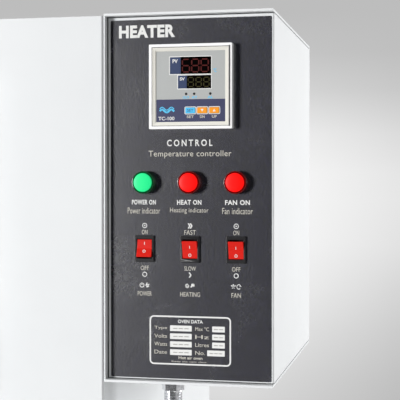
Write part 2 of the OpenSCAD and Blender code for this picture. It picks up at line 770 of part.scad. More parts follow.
module control_label() color([0.3, 0.3, 0.31]) difference() {
    slab_y(by - label_t, label_t)
        translate([label_x1 - label_w / 2, label_z0 + label_h / 2]) rrect(label_w, label_h, 1.7);
    slab_y(by - 2, 4) cover_cutouts();
}

module controller_bezel() color("white") difference() {
    slab_y(bezel_y, bezel_proud) translate([control_x, control_z]) rrect(bezel_w, bezel_w, 2.5);
    slab_y(bezel_y - eps, bezel_proud + 2 * eps)
        translate([control_x, control_z]) rrect(face_w + 2 * slip, face_h + 2 * slip, 1.5);
}

module controller_body() color("dimgray") {
    back = by + controller_depth;
    slab_y(face_y + 3.5, 3) translate([control_x, control_z]) rrect(face_w, face_h, 1.3);
    difference() {
        block([control_x - bezel_w / 2 + 3, face_y + 6, control_z - bezel_w / 2 + 3],
              [control_x + bezel_w / 2 - 3, back, control_z + bezel_w / 2 - 3]);
        block([control_x - bezel_w / 2, face_y, control_z - bezel_w / 2],
              [control_x + bezel_w / 2, by - label_t, control_z + bezel_w / 2]);
    }
    block([control_x - face_w / 2, face_y + 6, control_z - face_h / 2],
          [control_x + face_w / 2, by, control_z + face_h / 2]);
    // screw terminals at the back
    for (s = [-1, 1], i = [0:5])
        block([control_x + s * 34 - 5, back - eps, control_z - 36 + i * 13],
              [control_x + s * 34 + 5, back + 5, control_z - 28 + i * 13]);
}

pv_window = [[89, 352.8], [124.2, 371.9]];
sv_window = [[89, 336.3], [117.3, 351]];

module window_outline(w, grow) {
    // w holds distances from the box's outer side less 18.3, and heights above its underside
    translate([bx1 - w[1][0] + 18.3 - grow, bz0 + w[0][1] - grow])
        square([w[1][0] - w[0][0] + 2 * grow, w[1][1] - w[0][1] + 2 * grow]);
}

module controller_face() color("silver") difference() {
    slab_y(face_y, 3.5) translate([control_x, control_z]) rrect(face_w, face_h, 1.3);
    slab_y(face_y - eps, 2) {
        window_outline(pv_window, slip);
        window_outline(sv_window, slip);
    }
    slab_y(face_y - eps, 4.5) for (x = key_xs) translate([x, key_zz]) rrect(key_w + 2 * move_gap, key_h + 2 * move_gap, 1.3);
}

module display_windows() color("black") slab_y(face_y + 0.2, 1.3) {
    window_outline(pv_window, 0);
    window_outline(sv_window, 0);
}

// Key cap that stands in its hole in the face and clears the board behind it
module key(n) {
    slab_y(face_y - 0.8, 3.2) translate([key_xs[n], key_zz]) rrect(key_w, key_h, 1);
}

module set_key() color("deepskyblue") key(0);

module down_key() color("orange") key(1);

module up_key() color("orange") key(2);

module lamp_lens(n) {
    difference() {
        union() {
            rod_y(columns[n], lamp_zz, by - label_t - lamp_proud + 2, by - label_t, lamp_r);
            rod_y(columns[n], lamp_zz, by - label_t - lamp_proud, by - label_t - lamp_proud + 2, lamp_r - 1);
        }
        rod_y(columns[n], lamp_zz, by - label_t - lamp_proud + 2.5, by, lamp_r - 1.5);
    }
}

module power_lamp() color("lime") lamp_lens(0);

module heating_lamp() color("red") lamp_lens(1);

module fan_lamp() color("red") lamp_lens(2);

module lamp_bodies() color("dimgray") for (x = columns) {
    rod_y(x, lamp_zz, by - label_t - 5, by - label_t, lamp_r - 1.5 - slip);
    rod_y(x, lamp_zz, by - label_t - eps, by + 34, 8);
    rod_y(x, lamp_zz, by + cover_t, by + cover_t + 4, 11.5);
    for (s = [-1, 1]) block([x + s * 3.5 - 0.4, by + 33, lamp_zz - 2.4], [x + s * 3.5 + 0.4, by + 42, lamp_zz + 2.4]);
}

module switch_frames() color([0.1, 0.1, 0.1]) for (x = columns) {
    cavity = 9;
    difference() {
        union() {
            slab_y(by - label_t - 2, 2) translate([x, rocker_zz]) rrect(rocker_frame_w, rocker_frame_h, 1.2);
            block([x - rocker_frame_w / 2 + 0.9, by - label_t - eps, rocker_zz - rocker_frame_h / 2 + 0.9],
                  [x + rocker_frame_w / 2 - 0.9, by + switch_depth, rocker_zz + rocker_frame_h / 2 - 0.9]);
        }
        block([x - rocker_w / 2 - move_gap, by - label_t - 3, rocker_zz - rocker_window / 2],
              [x + rocker_w / 2 + move_gap, by + cavity, rocker_zz + rocker_window / 2]);
        rod_x(rocker_pivot_y, rocker_zz, x - rocker_w / 2 - trunnion_l - 0.1, x + rocker_w / 2 + trunnion_l + 0.1,
              trunnion_r + run_gap);
    }
    for (i = [-1:1])
        block([x - 3, by + switch_depth - eps, rocker_zz + i * 8 - 0.4], [x + 3, by + switch_depth + 8, rocker_zz + i * 8 + 0.4]);
}

// Rocker in its frame; a positive turn presses its lower end in
module rocker(n, turn) {
    h = rocker_half;
    translate([columns[n], rocker_pivot_y, rocker_zz]) rotate([turn, 0, 0]) {
        translate([-rocker_w / 2, 0, 0]) rotate([90, 0, 90]) linear_extrude(rocker_w)
            polygon([[-3.2, h], [-1.2, 0], [-3.2, -h], [1, -9.5], [6, -4], [6, 4], [1, 9.5]]);
        rod_x(0, 0, -rocker_w / 2 - trunnion_l, rocker_w / 2 + trunnion_l, trunnion_r);
    }
}

module power_rocker() color("red") rocker(0, -rocker_tilt);

module heating_rocker() color("red") rocker(1, rocker_tilt);

module fan_rocker() color("red") rocker(2, rocker_tilt);

// Electrical parts on the box's left plate -------------------------------

rail_y = by + 180;
rail_x = x_right + sheet;
rail_z0 = bz0 + 60;
rail_z1 = bz0 + 360;

module din_rail() color("silver") {
    block([rail_x, rail_y - 12.5, rail_z0], [rail_x + 1, rail_y + 12.5, rail_z1]);
    for (s = [-1, 1]) {
        block([rail_x, rail_y + s * 12.5 - 0.5, rail_z0], [rail_x + 7.5, rail_y + s * 12.5 + 0.5, rail_z1]);
        block([rail_x + 6.5, rail_y + s * 15 - 2.5, rail_z0], [rail_x + 7.5, rail_y + s * 15 + 2.5, rail_z1]);
    }
}

// Body of a device clipped on the rail, with a stepped front
module rail_device(z0, h, depth, length) {
    x0 = rail_x + 7.5;
    block([x0, rail_y - length / 2, z0], [x0 + depth * 0.6, rail_y + length / 2, z0 + h]);
    block([x0 + depth * 0.6 - eps, rail_y - length * 0.28, z0], [x0 + depth, rail_y + length * 0.28, z0 + h]);
}

module contactor() color([0.2, 0.2, 0.22]) {
    rail_device(rail_z0 + 10, 45, 80, 75);
    for (s = [-1, 1], i = [0:2])
        rod_x(rail_y + s * 30, rail_z0 + 18 + i * 14, rail_x + 50, rail_x + 57, 3.5);
}

module circuit_breaker() color("whitesmoke") {
    rail_device(rail_z0 + 75, 36, 66, 80);
    for (i = [0:1])
        block([rail_x + 70, rail_y - 4, rail_z0 + 80 + i * 18], [rail_x + 80, rail_y + 4, rail_z0 + 88 + i * 18]);
}

module terminal_block() color("beige") for (i = [0:9])
    block([rail_x + 7.5, rail_y - 22, rail_z0 + 130 + i * 6.2], [rail_x + 45, rail_y + 22, rail_z0 + 135.8 + i * 6.2]);

module heat_sink() color("silver") {
    x0 = rail_x;
    y0 = by + 240;
    for (i = [0:7]) block([x0 + 4, y0 + i * 10, bz0 + 200], [x0 + 34, y0 + i * 10 + 2, bz0 + 320]);
    block([x0 + 34 - eps, y0 - 2, bz0 + 200], [x0 + 39, y0 + 74, bz0 + 320]);
    for (z = [bz0 + 205, bz0 + 309]) block([x0, y0, z], [x0 + 4 + eps, y0 + 72, z + 6]);
}

module solid_state_relay() color("whitesmoke") {
    x0 = rail_x + 39;
    y0 = by + 252;
    block([x0, y0, bz0 + 230], [x0 + 23, y0 + 45, bz0 + 288]);
    for (s = [0, 1], t = [0, 1])
        rod_x(y0 + 10 + s * 25, bz0 + 237 + t * 44, x0 + 22, x0 + 26, 4);
}

// Conduit and glands -----------------------------------------------------

module conduit() color("silver") {
    translate([conduit_x, conduit_y, bz0 - conduit_drop]) cylinder(h = conduit_drop + hem_t + 8, r = conduit_r);
    translate([conduit_x - conduit_bend, conduit_y, bz0 - conduit_drop]) rotate([90, 0, 0]) rotate(-90)
        rotate_extrude(angle = 90) translate([conduit_bend, 0]) circle(conduit_r);
    rod_x(conduit_y, conduit_z, x_right - sheet - 8, conduit_x - conduit_bend, conduit_r);
}

// Six-sided clamping nut and lock nut on a wall between z = 0 and z = -wall
module gland(length, bore, wall) {
    difference() {
        union() {
            cylinder(h = 5, r = gland_af / 2 + 1.5);
            translate([0, 0, 5]) cylinder(h = length - 5, d = gland_af * 2 / sqrt(3), $fn = 6);
        }
        translate([0, 0, -eps]) cylinder(h = length + 2 * eps, r = bore);
    }
    translate([0, 0, -wall]) difference() {
        rotate([180, 0, 0]) cylinder(h = 4, d = gland_af * 2 / sqrt(3), $fn = 6);
        translate([0, 0, -5]) cylinder(h = 6, r = bore);
    }
}

module cable_glands() color("gray") {
    translate([conduit_x, conduit_y, bz0]) rotate([180, 0, 0]) gland(gland_h, gland_bore, hem_t);
    translate([x_right, conduit_y, conduit_z]) rotate([0, 90, 0]) gland(gland_h, gland_bore, sheet);
    // supply gland: its neck joins the nut outside to the nut inside
    translate([supply_x, y_back, supply_z]) rotate([-90, 0, 0]) {
        gland(gland_reach, cable_bore, sheet);
        difference() {
            translate([0, 0, -sheet - 1]) cylinder(h = sheet + 2, r = 8);
            translate([0, 0, -5]) cylinder(h = 10, r = cable_bore);
        }
    }
}

outer_shell();
rear_panel();
base_pan();
feet();
chamber_liner();
insulation();
floor_plate();
duct_panel();
shelf_supports();
upper_shelf();
lower_shelf();
heating_elements();
temperature_probe();
vent_tube();
motor_bracket();
fan_motor();
body_hinge_leaves();
hinge_pins();
catch_magnet();
casing_screws();
box_shell();
box_cover();
control_label();
controller_bezel();
controller_body();
controller_face();
display_windows();
lamp_bodies();
power_lamp();
heating_lamp();
fan_lamp();
switch_frames();
din_rail();
contactor();
circuit_breaker();
terminal_block();
heat_sink();
solid_state_relay();
conduit();
cable_glands();
vent_cap();
fan_impeller();
fan_shaft();
door_outer_shell();
door_inner_pan();
door_insulation();
door_gasket();
window_frame();
window_panes();
door_handle();
door_hinge_leaves();
door_screws();
power_rocker();
heating_rocker();
fan_rocker();
set_key();
down_key();
up_key();
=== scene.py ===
"""Looks of a bench-top hot-air oven with a control box hung on its side.

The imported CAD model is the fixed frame. Each class below is one sub-assembly: it builds its own
meshes with operators, gives them their finishes and says which CAD nodes they stand for.
Lengths are in metres. Places on the control panel are in millimetres from the box's lower outer
corner, to the left and upwards, as its drawing gives them.
"""

import sys
import logging
import math
from collections.abc import Iterable, Sequence
from dataclasses import dataclass
from enum import Enum
from typing import Any

import bmesh
import bpy
from mathutils import Matrix, Vector
from mathutils.bvhtree import BVHTree


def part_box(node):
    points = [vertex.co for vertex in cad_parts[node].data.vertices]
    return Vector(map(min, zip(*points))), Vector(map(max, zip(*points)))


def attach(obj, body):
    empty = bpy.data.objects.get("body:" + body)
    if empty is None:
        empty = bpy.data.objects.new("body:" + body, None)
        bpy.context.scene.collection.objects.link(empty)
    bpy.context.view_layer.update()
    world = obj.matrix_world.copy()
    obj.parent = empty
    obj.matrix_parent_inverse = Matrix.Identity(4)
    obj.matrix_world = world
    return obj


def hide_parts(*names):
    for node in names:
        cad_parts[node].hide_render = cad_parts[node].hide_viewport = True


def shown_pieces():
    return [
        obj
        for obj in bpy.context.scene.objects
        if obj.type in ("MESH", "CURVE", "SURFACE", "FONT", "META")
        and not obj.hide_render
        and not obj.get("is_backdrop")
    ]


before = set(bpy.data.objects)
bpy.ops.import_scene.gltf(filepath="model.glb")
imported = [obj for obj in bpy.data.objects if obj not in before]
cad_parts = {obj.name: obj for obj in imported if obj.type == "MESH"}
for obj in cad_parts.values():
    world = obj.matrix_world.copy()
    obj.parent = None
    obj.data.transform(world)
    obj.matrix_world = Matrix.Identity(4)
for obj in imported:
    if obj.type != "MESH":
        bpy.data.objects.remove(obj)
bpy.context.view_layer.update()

MM = 0.001
# Points nearer than this are one point.
MERGE = 0.002 * MM
# Turns a mesh on the plane z = 0 so that it faces -Y.
UPRIGHT = Matrix.Rotation(math.pi / 2, 3, "X")
LOG = logging.getLogger("oven")


class Body(Enum):
    """The CAD bodies that pieces ride on."""

    CASING = "casing"
    VENT_DAMPER = "vent_damper"
    FAN = "fan"
    DOOR = "door"
    POWER_SWITCH = "power_switch"
    HEATING_SWITCH = "heating_switch"
    FAN_SWITCH = "fan_switch"
    SET_BUTTON = "set_button"
    DOWN_BUTTON = "down_button"
    UP_BUTTON = "up_button"


# Finishes ---------------------------------------------------------------


def linear(colour: str) -> tuple[float, float, float, float]:
    """Turns a display colour into the linear one that shaders use.

    Args:
        colour: Six hexadecimal digits, red first.

    Returns:
        Linear red, green, blue and an alpha of 1.
    """
    parts = [int(colour[i : i + 2], 16) / 255 for i in (0, 2, 4)]
    r, g, b = (p / 12.92 if p <= 0.04045 else ((p + 0.055) / 1.055) ** 2.4 for p in parts)
    return (r, g, b, 1.0)


class Wiring:
    """Adds nodes to one shader tree and joins their sockets."""

    def __init__(self, tree: bpy.types.NodeTree) -> None:
        """Starts on a tree, which it leaves empty.

        Args:
            tree: The tree to fill.
        """
        self.tree = tree
        tree.nodes.clear()

    def node(
        self, kind: str, sockets: dict[str | int, Any] | None = None, **settings: Any
    ) -> bpy.types.Node:
        """Adds a node.

        Args:
            kind: The node's type name.
            sockets: A value, or another node's output, for each named input.
            **settings: The node's own properties.

        Returns:
            The new node.
        """
        made = self.tree.nodes.new(kind)
        for key, value in settings.items():
            setattr(made, key, value)
        for key, value in (sockets or {}).items():
            if isinstance(value, bpy.types.NodeSocket):
                self.tree.links.new(value, made.inputs[key])
            else:
                made.inputs[key].default_value = value
        return made

    def math(self, operation: str, a: Any, b: Any) -> bpy.types.NodeSocket:
        """Joins two numbers by one operation and gives the result's socket."""
        return self.node("ShaderNodeMath", {0: a, 1: b}, operation=operation).outputs[0]

    def ramp(self, value: Any, low: float, high: float) -> bpy.types.NodeSocket:
        """Spreads the numbers from low to high over 0 to 1 and gives the result's socket."""
        sockets = {"Value": value, "From Min": low, "From Max": high}
        return self.node("ShaderNodeMapRange", sockets, clamp=True).outputs["Result"]

    def noise(self, vector: Any, scale: Any, detail: float) -> bpy.types.NodeSocket:
        """Adds a noise pattern and gives the socket of its value."""
        sockets = {"Vector": vector, "Scale": scale, "Detail": detail, "Roughness": 0.6}
        return self.node("ShaderNodeTexNoise", sockets).outputs[0]


class Effect(Enum):
    """Surface effects that several finishes share, each a node group."""

    GRAIN = "Moulded grain"
    BRUSHED = "Brushed lines"
    ORANGE_PEEL = "Powder coat peel"
    HANDLING = "Handling marks"

    def group(self) -> bpy.types.NodeTree:
        """Gives the effect's node group, built the first time it is asked for.

        Returns:
            A tree with the inputs Vector, Size and Amount, and the outputs Height and Mask.
        """
        known = bpy.data.node_groups.get(self.value)
        if known:
            return known
        tree = bpy.data.node_groups.new(self.value, "ShaderNodeTree")
        wiring = Wiring(tree)
        for name, kind, value in (
            ("Vector", "NodeSocketVector", None),
            ("Size", "NodeSocketFloat", 0.001),
            ("Amount", "NodeSocketFloat", 1.0),
        ):
            socket = tree.interface.new_socket(name, in_out="INPUT", socket_type=kind)
            if value is not None:
                socket.default_value = value
        for name in ("Height", "Mask"):
            tree.interface.new_socket(name, in_out="OUTPUT", socket_type="NodeSocketFloat")
        given = wiring.node("NodeGroupInput")
        height, mask = self._pattern(wiring, given)
        strength = wiring.math("MULTIPLY", mask, given.outputs["Amount"])
        wiring.node("NodeGroupOutput", {"Height": height, "Mask": strength})
        return tree

    def _pattern(
        self, wiring: Wiring, given: bpy.types.Node
    ) -> tuple[bpy.types.NodeSocket, bpy.types.NodeSocket]:
        """Wires the effect's own pattern.

        Args:
            wiring: The group's tree.
            given: The group's input node.

        Returns:
            The sockets of its height and of its mask, both from 0 to 1.
        """
        vector = given.outputs["Vector"]
        scale = wiring.math("DIVIDE", 1.0, given.outputs["Size"])
        if self is Effect.BRUSHED:
            fine = wiring.noise(vector, scale, 3)
            broad = wiring.noise(vector, wiring.math("MULTIPLY", scale, 0.21), 2)
            return fine, wiring.ramp(wiring.math("ADD", fine, broad), 0.75, 1.25)
        if self is Effect.ORANGE_PEEL:
            peel = wiring.noise(vector, scale, 1)
            cloud = wiring.noise(vector, wiring.math("MULTIPLY", scale, 0.02), 4)
            return peel, wiring.ramp(cloud, 0.35, 0.7)
        if self is Effect.HANDLING:
            smear = wiring.noise(vector, scale, 5)
            grit = wiring.noise(vector, wiring.math("MULTIPLY", scale, 11.0), 2)
            patch = wiring.ramp(smear, 0.48, 0.72)
            return grit, wiring.math("MULTIPLY", patch, wiring.ramp(grit, 0.3, 0.65))
        fine = wiring.noise(vector, scale, 4)
        return fine, wiring.ramp(fine, 0.36, 0.64)


@dataclass(frozen=True)
class Finish:
    """A surface finish, made once into a material.

    Attributes:
        name: The material's name.
        colour: Its main colour, six hexadecimal digits.
        tone: The colour that its texture runs to.
        tone_share: How far the texture takes the colour to tone, from 0 to 1.
        roughness: Roughness where the surface is clean.
        metallic: 1 for bare metal.
        effect: The texture on it.
        size: Width of the texture's features.
        depth: Height of its relief.
        stretch: How much the pattern is squeezed along each axis; a low number draws it out.
        marks: How strongly handling marks dull it, from 0 to 1.
        mark_size: Width of a handling mark.
        coat: Strength of a clear coat.
        specular: Strength of the plain gloss, 0.5 for most plastics and paints.
        glow: Strength of its own light; on the lamp lenses it is the lamps' light, on the switch
            caps and unlit segments a painted glow.
        ior: Refractive index of its surface.
    """

    name: str
    colour: str
    tone: str
    tone_share: float = 0.3
    roughness: float = 0.5
    metallic: float = 0.0
    effect: Effect = Effect.GRAIN
    size: float = 1.0 * MM
    depth: float = 0.01 * MM
    stretch: tuple[float, float, float] = (1.0, 1.0, 1.0)
    marks: float = 0.1
    mark_size: float = 60 * MM
    coat: float = 0.0
    specular: float = 0.5
    glow: float = 0.0
    ior: float = 1.5

    def material(self) -> bpy.types.Material:
        """Gives the finish's material, wired the first time it is asked for.

        Returns:
            The material.
        """
        known = bpy.data.materials.get(self.name)
        if known:
            return known
        made = bpy.data.materials.new(self.name)
        made.use_nodes = True
        wiring = Wiring(made.node_tree)
        wiring.node("ShaderNodeOutputMaterial", {"Surface": self.shader(wiring)})
        return made

    def shader(self, wiring: Wiring) -> bpy.types.NodeSocket:
        """Wires the shader.

        Args:
            wiring: The material's tree.

        Returns:
            The socket of the finished surface.
        """
        place = wiring.node("ShaderNodeTexCoord").outputs["Object"]
        drawn = wiring.node("ShaderNodeMapping", {"Vector": place, "Scale": self.stretch})
        texture = self._effect(wiring, self.effect, drawn.outputs[0], self.size, self.tone_share)
        marks = self._effect(wiring, Effect.HANDLING, place, self.mark_size, self.marks)
        colour = wiring.node(
            "ShaderNodeMix",
            {"Factor": texture.outputs["Mask"], 6: linear(self.colour), 7: linear(self.tone)},
            data_type="RGBA",
        ).outputs[2]
        rough = wiring.math("ADD", marks.outputs["Mask"], self.roughness)
        bump = wiring.node(
            "ShaderNodeBump",
            {"Height": texture.outputs["Height"], "Distance": self.depth, "Strength": 1.0},
        )
        surface = wiring.node(
            "ShaderNodeBsdfPrincipled",
            {
                "Base Color": colour,
                "Roughness": rough,
                "Metallic": self.metallic,
                "Specular IOR Level": self.specular,
                "IOR": self.ior,
                "Coat Weight": self.coat,
                "Coat Roughness": 0.08,
                "Normal": bump.outputs[0],
            },
        )
        if self.glow:
            wiring.tree.links.new(colour, surface.inputs["Emission Color"])
            surface.inputs["Emission Strength"].default_value = self.glow
        return surface.outputs[0]

    @staticmethod
    def _effect(
        wiring: Wiring, effect: Effect, vector: Any, size: float, amount: float
    ) -> bpy.types.Node:
        """Places an effect's group in a tree, with its own values.

        Args:
            wiring: The material's tree.
            effect: The effect.
            vector: The socket of the place that its pattern reads.
            size: Width of its features.
            amount: How strong its mask is.

        Returns:
            The group's node.
        """
        placed = wiring.node("ShaderNodeGroup", node_tree=effect.group())
        wiring.tree.links.new(vector, placed.inputs["Vector"])
        placed.inputs["Size"].default_value = size
        placed.inputs["Amount"].default_value = amount
        return placed


@dataclass(frozen=True)
class ClearGlass(Finish):
    """Window glass, which lets light from lamps straight through."""

    def shader(self, wiring: Wiring) -> bpy.types.NodeSocket:
        """Wires clear glass with a trace of wiping marks.

        Args:
            wiring: The material's tree.

        Returns:
            The socket of the finished surface.
        """
        place = wiring.node("ShaderNodeTexCoord").outputs["Object"]
        marks = self._effect(wiring, Effect.HANDLING, place, self.mark_size, self.marks)
        glass = wiring.node(
            "ShaderNodeBsdfPrincipled",
            {
                "Base Color": linear(self.colour),
                "Roughness": wiring.math("ADD", marks.outputs["Mask"], self.roughness),
                "Transmission Weight": 1.0,
                "IOR": 1.5,
            },
        )
        clear = wiring.node("ShaderNodeBsdfTransparent")
        path = wiring.node("ShaderNodeLightPath")
        sockets = {0: path.outputs["Is Shadow Ray"], 1: glass.outputs[0], 2: clear.outputs[0]}
        return wiring.node("ShaderNodeMixShader", sockets).outputs[0]


PAINT = Finish("white powder coat", "DDDFE0", "D2D4D6", 0.25, 0.45, effect=Effect.ORANGE_PEEL,
               size=2.2 * MM, depth=0.03 * MM, marks=0.12)
FILM = Finish("dark printed film", "030309", "181830", 1.0, 0.26, size=2.0 * MM,
              depth=0.13 * MM, marks=0.03, specular=0.9, ior=2.35)
INK_WHITE = Finish("white ink", "E4E4E2", "CFCFCD", 0.3, 0.5, size=0.8 * MM, depth=0.004 * MM)
INK_CREAM = Finish("cream ink", "C9C5BA", "AFABA0", 0.4, 0.55, size=0.8 * MM, depth=0.004 * MM)
INK_GREY = Finish("grey ink", "8E8C88", "76746F", 0.4, 0.55, size=0.8 * MM, depth=0.004 * MM)
INK_CYAN = Finish("cyan ink", "59C4EE", "3FB0DE", 0.3, 0.5, size=0.8 * MM, depth=0.004 * MM)
INK_NAVY = Finish("navy ink", "3A3D5E", "343756", 0.4, 0.42, size=1.2 * MM, depth=0.006 * MM)
INK_SLATE = Finish("slate blue ink", "2B3B60", "253456", 0.4, 0.42, size=1.2 * MM, depth=0.006 * MM)
BEZEL_WHITE = Finish("white moulded plastic", "F6F6F6", "ECECEC", 0.2, 0.4, size=0.6 * MM)
BEZEL_BEIGE = Finish("beige moulded plastic", "E2E0D8", "D8D5CC", 0.4, 0.45, size=0.6 * MM)
FACE_GREY = Finish("grey face film", "AEB0AF", "A6A8A7", 0.4, 0.4, size=1.0 * MM, depth=0.006 * MM)
DISPLAY = Finish("display window", "050303", "080504", 0.4, 0.16, specular=0.2, size=1.5 * MM,
                 depth=0.002 * MM)
# The unlit segments carry a faint painted glow.
SEGMENT_RED = Finish("unlit red segment", "4A0A08", "3A0605", 0.4, 0.5, size=0.8 * MM, specular=0.2,
                     glow=0.06)
SEGMENT_OLIVE = Finish("unlit olive segment", "33300C", "282508", 0.4, 0.5, size=0.8 * MM,
                       specular=0.2, glow=0.04)
BLACK = Finish("black moulded plastic", "101013", "1C1A1D", 0.5, 0.38, size=0.5 * MM,
               depth=0.012 * MM, marks=0.1)
HOSE = Finish("bright flexible steel", "F4F5F7", "9A9DA3", 0.45, 0.16, 0.9, size=4 * MM,
              depth=0.02 * MM, marks=0.15)
# A grey strip painted as the shadow in the groove on the right of the bezel's rim.
PAINTED_GROOVE_SHADOW = Finish("shaded groove", "4E4C4E", "444244", 0.3, 0.8)
# Black painted shade for hollows: the gap beside the cover, the groove round the bezel's rim and the
# small lamps' holes.
PAINTED_HOLLOW_SHADE = Finish("black hollow", "050505", "0A0A0A", 0.3, 0.8)
RUBBER = Finish("black rubber", "1B1B1B", "272727", 0.5, 0.75, size=0.7 * MM, depth=0.03 * MM)
STAINLESS = Finish("brushed stainless", "C9C9C7", "A9A9A7", 0.5, 0.3, 1.0, Effect.BRUSHED,
                   0.5 * MM, 0.006 * MM, (0.02, 1.0, 1.0), 0.12)
STAINLESS_DEEP = Finish("stainless drawn front to back", "C4C4C2", "A5A5A3", 0.5, 0.32, 1.0,
                        Effect.BRUSHED, 0.5 * MM, 0.006 * MM, (1.0, 0.02, 1.0), 0.12)
ZINC = Finish("zinc-plated sheet", "B9BCC0", "989CA2", 0.7, 0.42, 1.0, size=9 * MM,
              depth=0.004 * MM, marks=0.2)
PLATED = Finish("bright nickel plate", "E2E2E0", "CACAC8", 0.4, 0.16, 1.0, size=0.8 * MM,
                depth=0.003 * MM, marks=0.12, mark_size=15 * MM)
SHEATH = Finish("heat-dulled steel", "6E665F", "4C4540", 0.8, 0.45, 1.0, size=6 * MM,
                depth=0.01 * MM, marks=0.2)
MOTOR = Finish("motor enamel", "39434E", "2F3841", 0.4, 0.4, effect=Effect.ORANGE_PEEL,
               size=1.8 * MM, depth=0.04 * MM)
WOOL = Finish("mineral wool", "C7B77F", "9C8C55", 0.8, 0.95, size=1.4 * MM, depth=0.9 * MM,
              stretch=(0.3, 1.0, 1.0), specular=0.2)
SILICONE = Finish("red silicone", "8C2E22", "7A261B", 0.4, 0.6, size=1.0 * MM, depth=0.02 * MM)
DEVICE = Finish("pale device plastic", "DAD8D0", "CECCC4", 0.3, 0.45, size=0.6 * MM)
ALUMINIUM = Finish("extruded aluminium", "C2C4C6", "A8AAAC", 0.5, 0.38, 1.0, Effect.BRUSHED,
                   0.4 * MM, 0.006 * MM, (1.0, 1.0, 0.03), 0.1)
# The red caps carry a painted glow on top of their colour.
RED_CAP = Finish("red switch plastic", "CC1505", "B81004", 0.3, 0.4, size=0.6 * MM, specular=0.3,
                 depth=0.003 * MM, glow=0.12)
KEY_CYAN = Finish("cyan key film", "4FC0F2", "3FB2E6", 0.3, 0.4, size=0.8 * MM)
KEY_ORANGE = Finish("orange key film", "F79A14", "EE8E0C", 0.3, 0.4, size=0.8 * MM)
GREEN_FACE = Finish("green frosted lens", "1CD07C", "28DC88", 0.5, 0.45, size=1.2 * MM,
                    depth=0.02 * MM, marks=0.0, specular=0.25, glow=0.35)
GREEN_RING = Finish("green clear lens", "064020", "0A5A30", 0.4, 0.12, size=1.0 * MM,
                    depth=0.002 * MM, coat=0.4, glow=0.04)
RED_FACE = Finish("red frosted lens", "EC0602", "F00A04", 0.5, 0.45, size=1.2 * MM,
                  depth=0.02 * MM, marks=0.0, specular=0.2, glow=0.4)
RED_RING = Finish("red clear lens", "5A0403", "760806", 0.4, 0.12, size=1.0 * MM,
                  depth=0.002 * MM, coat=0.4, glow=0.05)
GLASS = ClearGlass("clear window glass", "EEF6F4", "EEF6F4", roughness=0.01, marks=0.05)


# Mesh operators ---------------------------------------------------------

# Steps in a rounded corner and in a softened edge.
CORNER_STEPS = 5
EDGE_STEPS = 2
# Radians that an edge of a plate's face turns by, at the least.
SHARP = 1.0


def bevelled(
    bm: bmesh.types.BMesh, geom: Sequence[Any], size: float, segments: int,
    affect: str = "EDGES", **settings: Any
) -> None:
    """Rounds edges or corners.

    Args:
        bm: The mesh.
        geom: The edges or corners.
        size: How far the rounding reaches.
        segments: Number of steps in it.
        affect: EDGES or VERTICES.
        **settings: What else the operator is told.
    """
    settings = {"clamp_overlap": True} | settings
    bmesh.ops.bevel(bm, geom=geom, offset=size, segments=segments, profile=0.5, affect=affect,
                    material=-1, **settings)


def corners_of(points: Iterable[Vector]) -> tuple[Vector, Vector]:
    """Finds the box round some points.

    Args:
        points: The points.

    Returns:
        Its lowest and its highest corner.
    """
    along = list(zip(*points))
    return Vector([min(a) for a in along]), Vector([max(a) for a in along])


def rounded_plate(
    width: float, height: float, depth: float, radius: float = 0.0, edge: float = 0.0
) -> bmesh.types.BMesh:
    """Makes a plate that stands on the plane y = 0 and faces -Y, centred on the origin.

    Args:
        width: Its size along X.
        height: Its size along Z.
        depth: Its thickness.
        radius: Radius of its four corners.
        edge: Size of the softened edge round its face.

    Returns:
        A closed mesh.
    """
    bm = bmesh.new()
    bmesh.ops.create_grid(bm, x_segments=1, y_segments=1, size=0.5)
    bmesh.ops.scale(bm, vec=(width, height, 1), verts=bm.verts)
    if radius:
        bevelled(bm, bm.verts[:], radius, CORNER_STEPS, "VERTICES")
    return _raised(bm, depth, edge)


def ring_plate(
    width: float, height: float, depth: float, rim: float, radius: float, edge: float = 0.0
) -> bmesh.types.BMesh:
    """Makes a flat frame that stands on the plane y = 0 and faces -Y.

    Args:
        width: Its outer size along X.
        height: Its outer size along Z.
        depth: Its thickness.
        rim: Width of its band.
        radius: Radius of its outer corners.
        edge: Size of the softened edges round its face.

    Returns:
        A closed mesh.
    """
    bm = bmesh.new()
    bmesh.ops.create_grid(bm, x_segments=1, y_segments=1, size=0.5)
    bmesh.ops.scale(bm, vec=(width, height, 1), verts=bm.verts)
    middle = bm.faces[:]
    bmesh.ops.inset_region(bm, faces=middle, thickness=rim, use_even_offset=True,
                           use_boundary=True)
    bmesh.ops.delete(bm, geom=middle, context="FACES")
    ring = _raised(bm, depth, 0.0)
    for reach, round_off in ((width / 2, radius), (width / 2 - rim, radius - rim)):
        if round_off > 0:
            uprights = [e for e in ring.edges if e.verts[0].co.xz == e.verts[1].co.xz
                        and abs(abs(e.verts[0].co.x) - reach) < 1e-6]
            bevelled(ring, uprights, round_off, CORNER_STEPS)
    if edge:
        rims = [e for e in ring.edges if e.calc_face_angle(0) > SHARP
                and all(v.co.y < -depth * 0.99 for v in e.verts)]
        bevelled(ring, rims, edge, EDGE_STEPS)
    return ring


def _raised(bm: bmesh.types.BMesh, depth: float, edge: float) -> bmesh.types.BMesh:
    """Turns a flat outline to face -Y, makes it a solid and softens its front edges.

    Args:
        bm: The outline, filled with faces, on the plane z = 0.
        depth: The solid's thickness.
        edge: Size of the softened edges; 0 leaves them sharp.

    Returns:
        The same mesh.
    """
    bmesh.ops.rotate(bm, verts=bm.verts, cent=(0, 0, 0), matrix=UPRIGHT)
    grown = bmesh.ops.extrude_face_region(bm, geom=bm.faces[:])["geom"]
    front = [g for g in grown if isinstance(g, bmesh.types.BMVert)]
    bmesh.ops.translate(bm, verts=front, vec=(0, -depth, 0))
    bmesh.ops.recalc_face_normals(bm, faces=bm.faces)
    if edge:
        chosen = set(front)
        rims = [e for e in bm.edges if set(e.verts) <= chosen and e.calc_face_angle(0) > SHARP]
        bevelled(bm, rims, edge, EDGE_STEPS)
    return bm


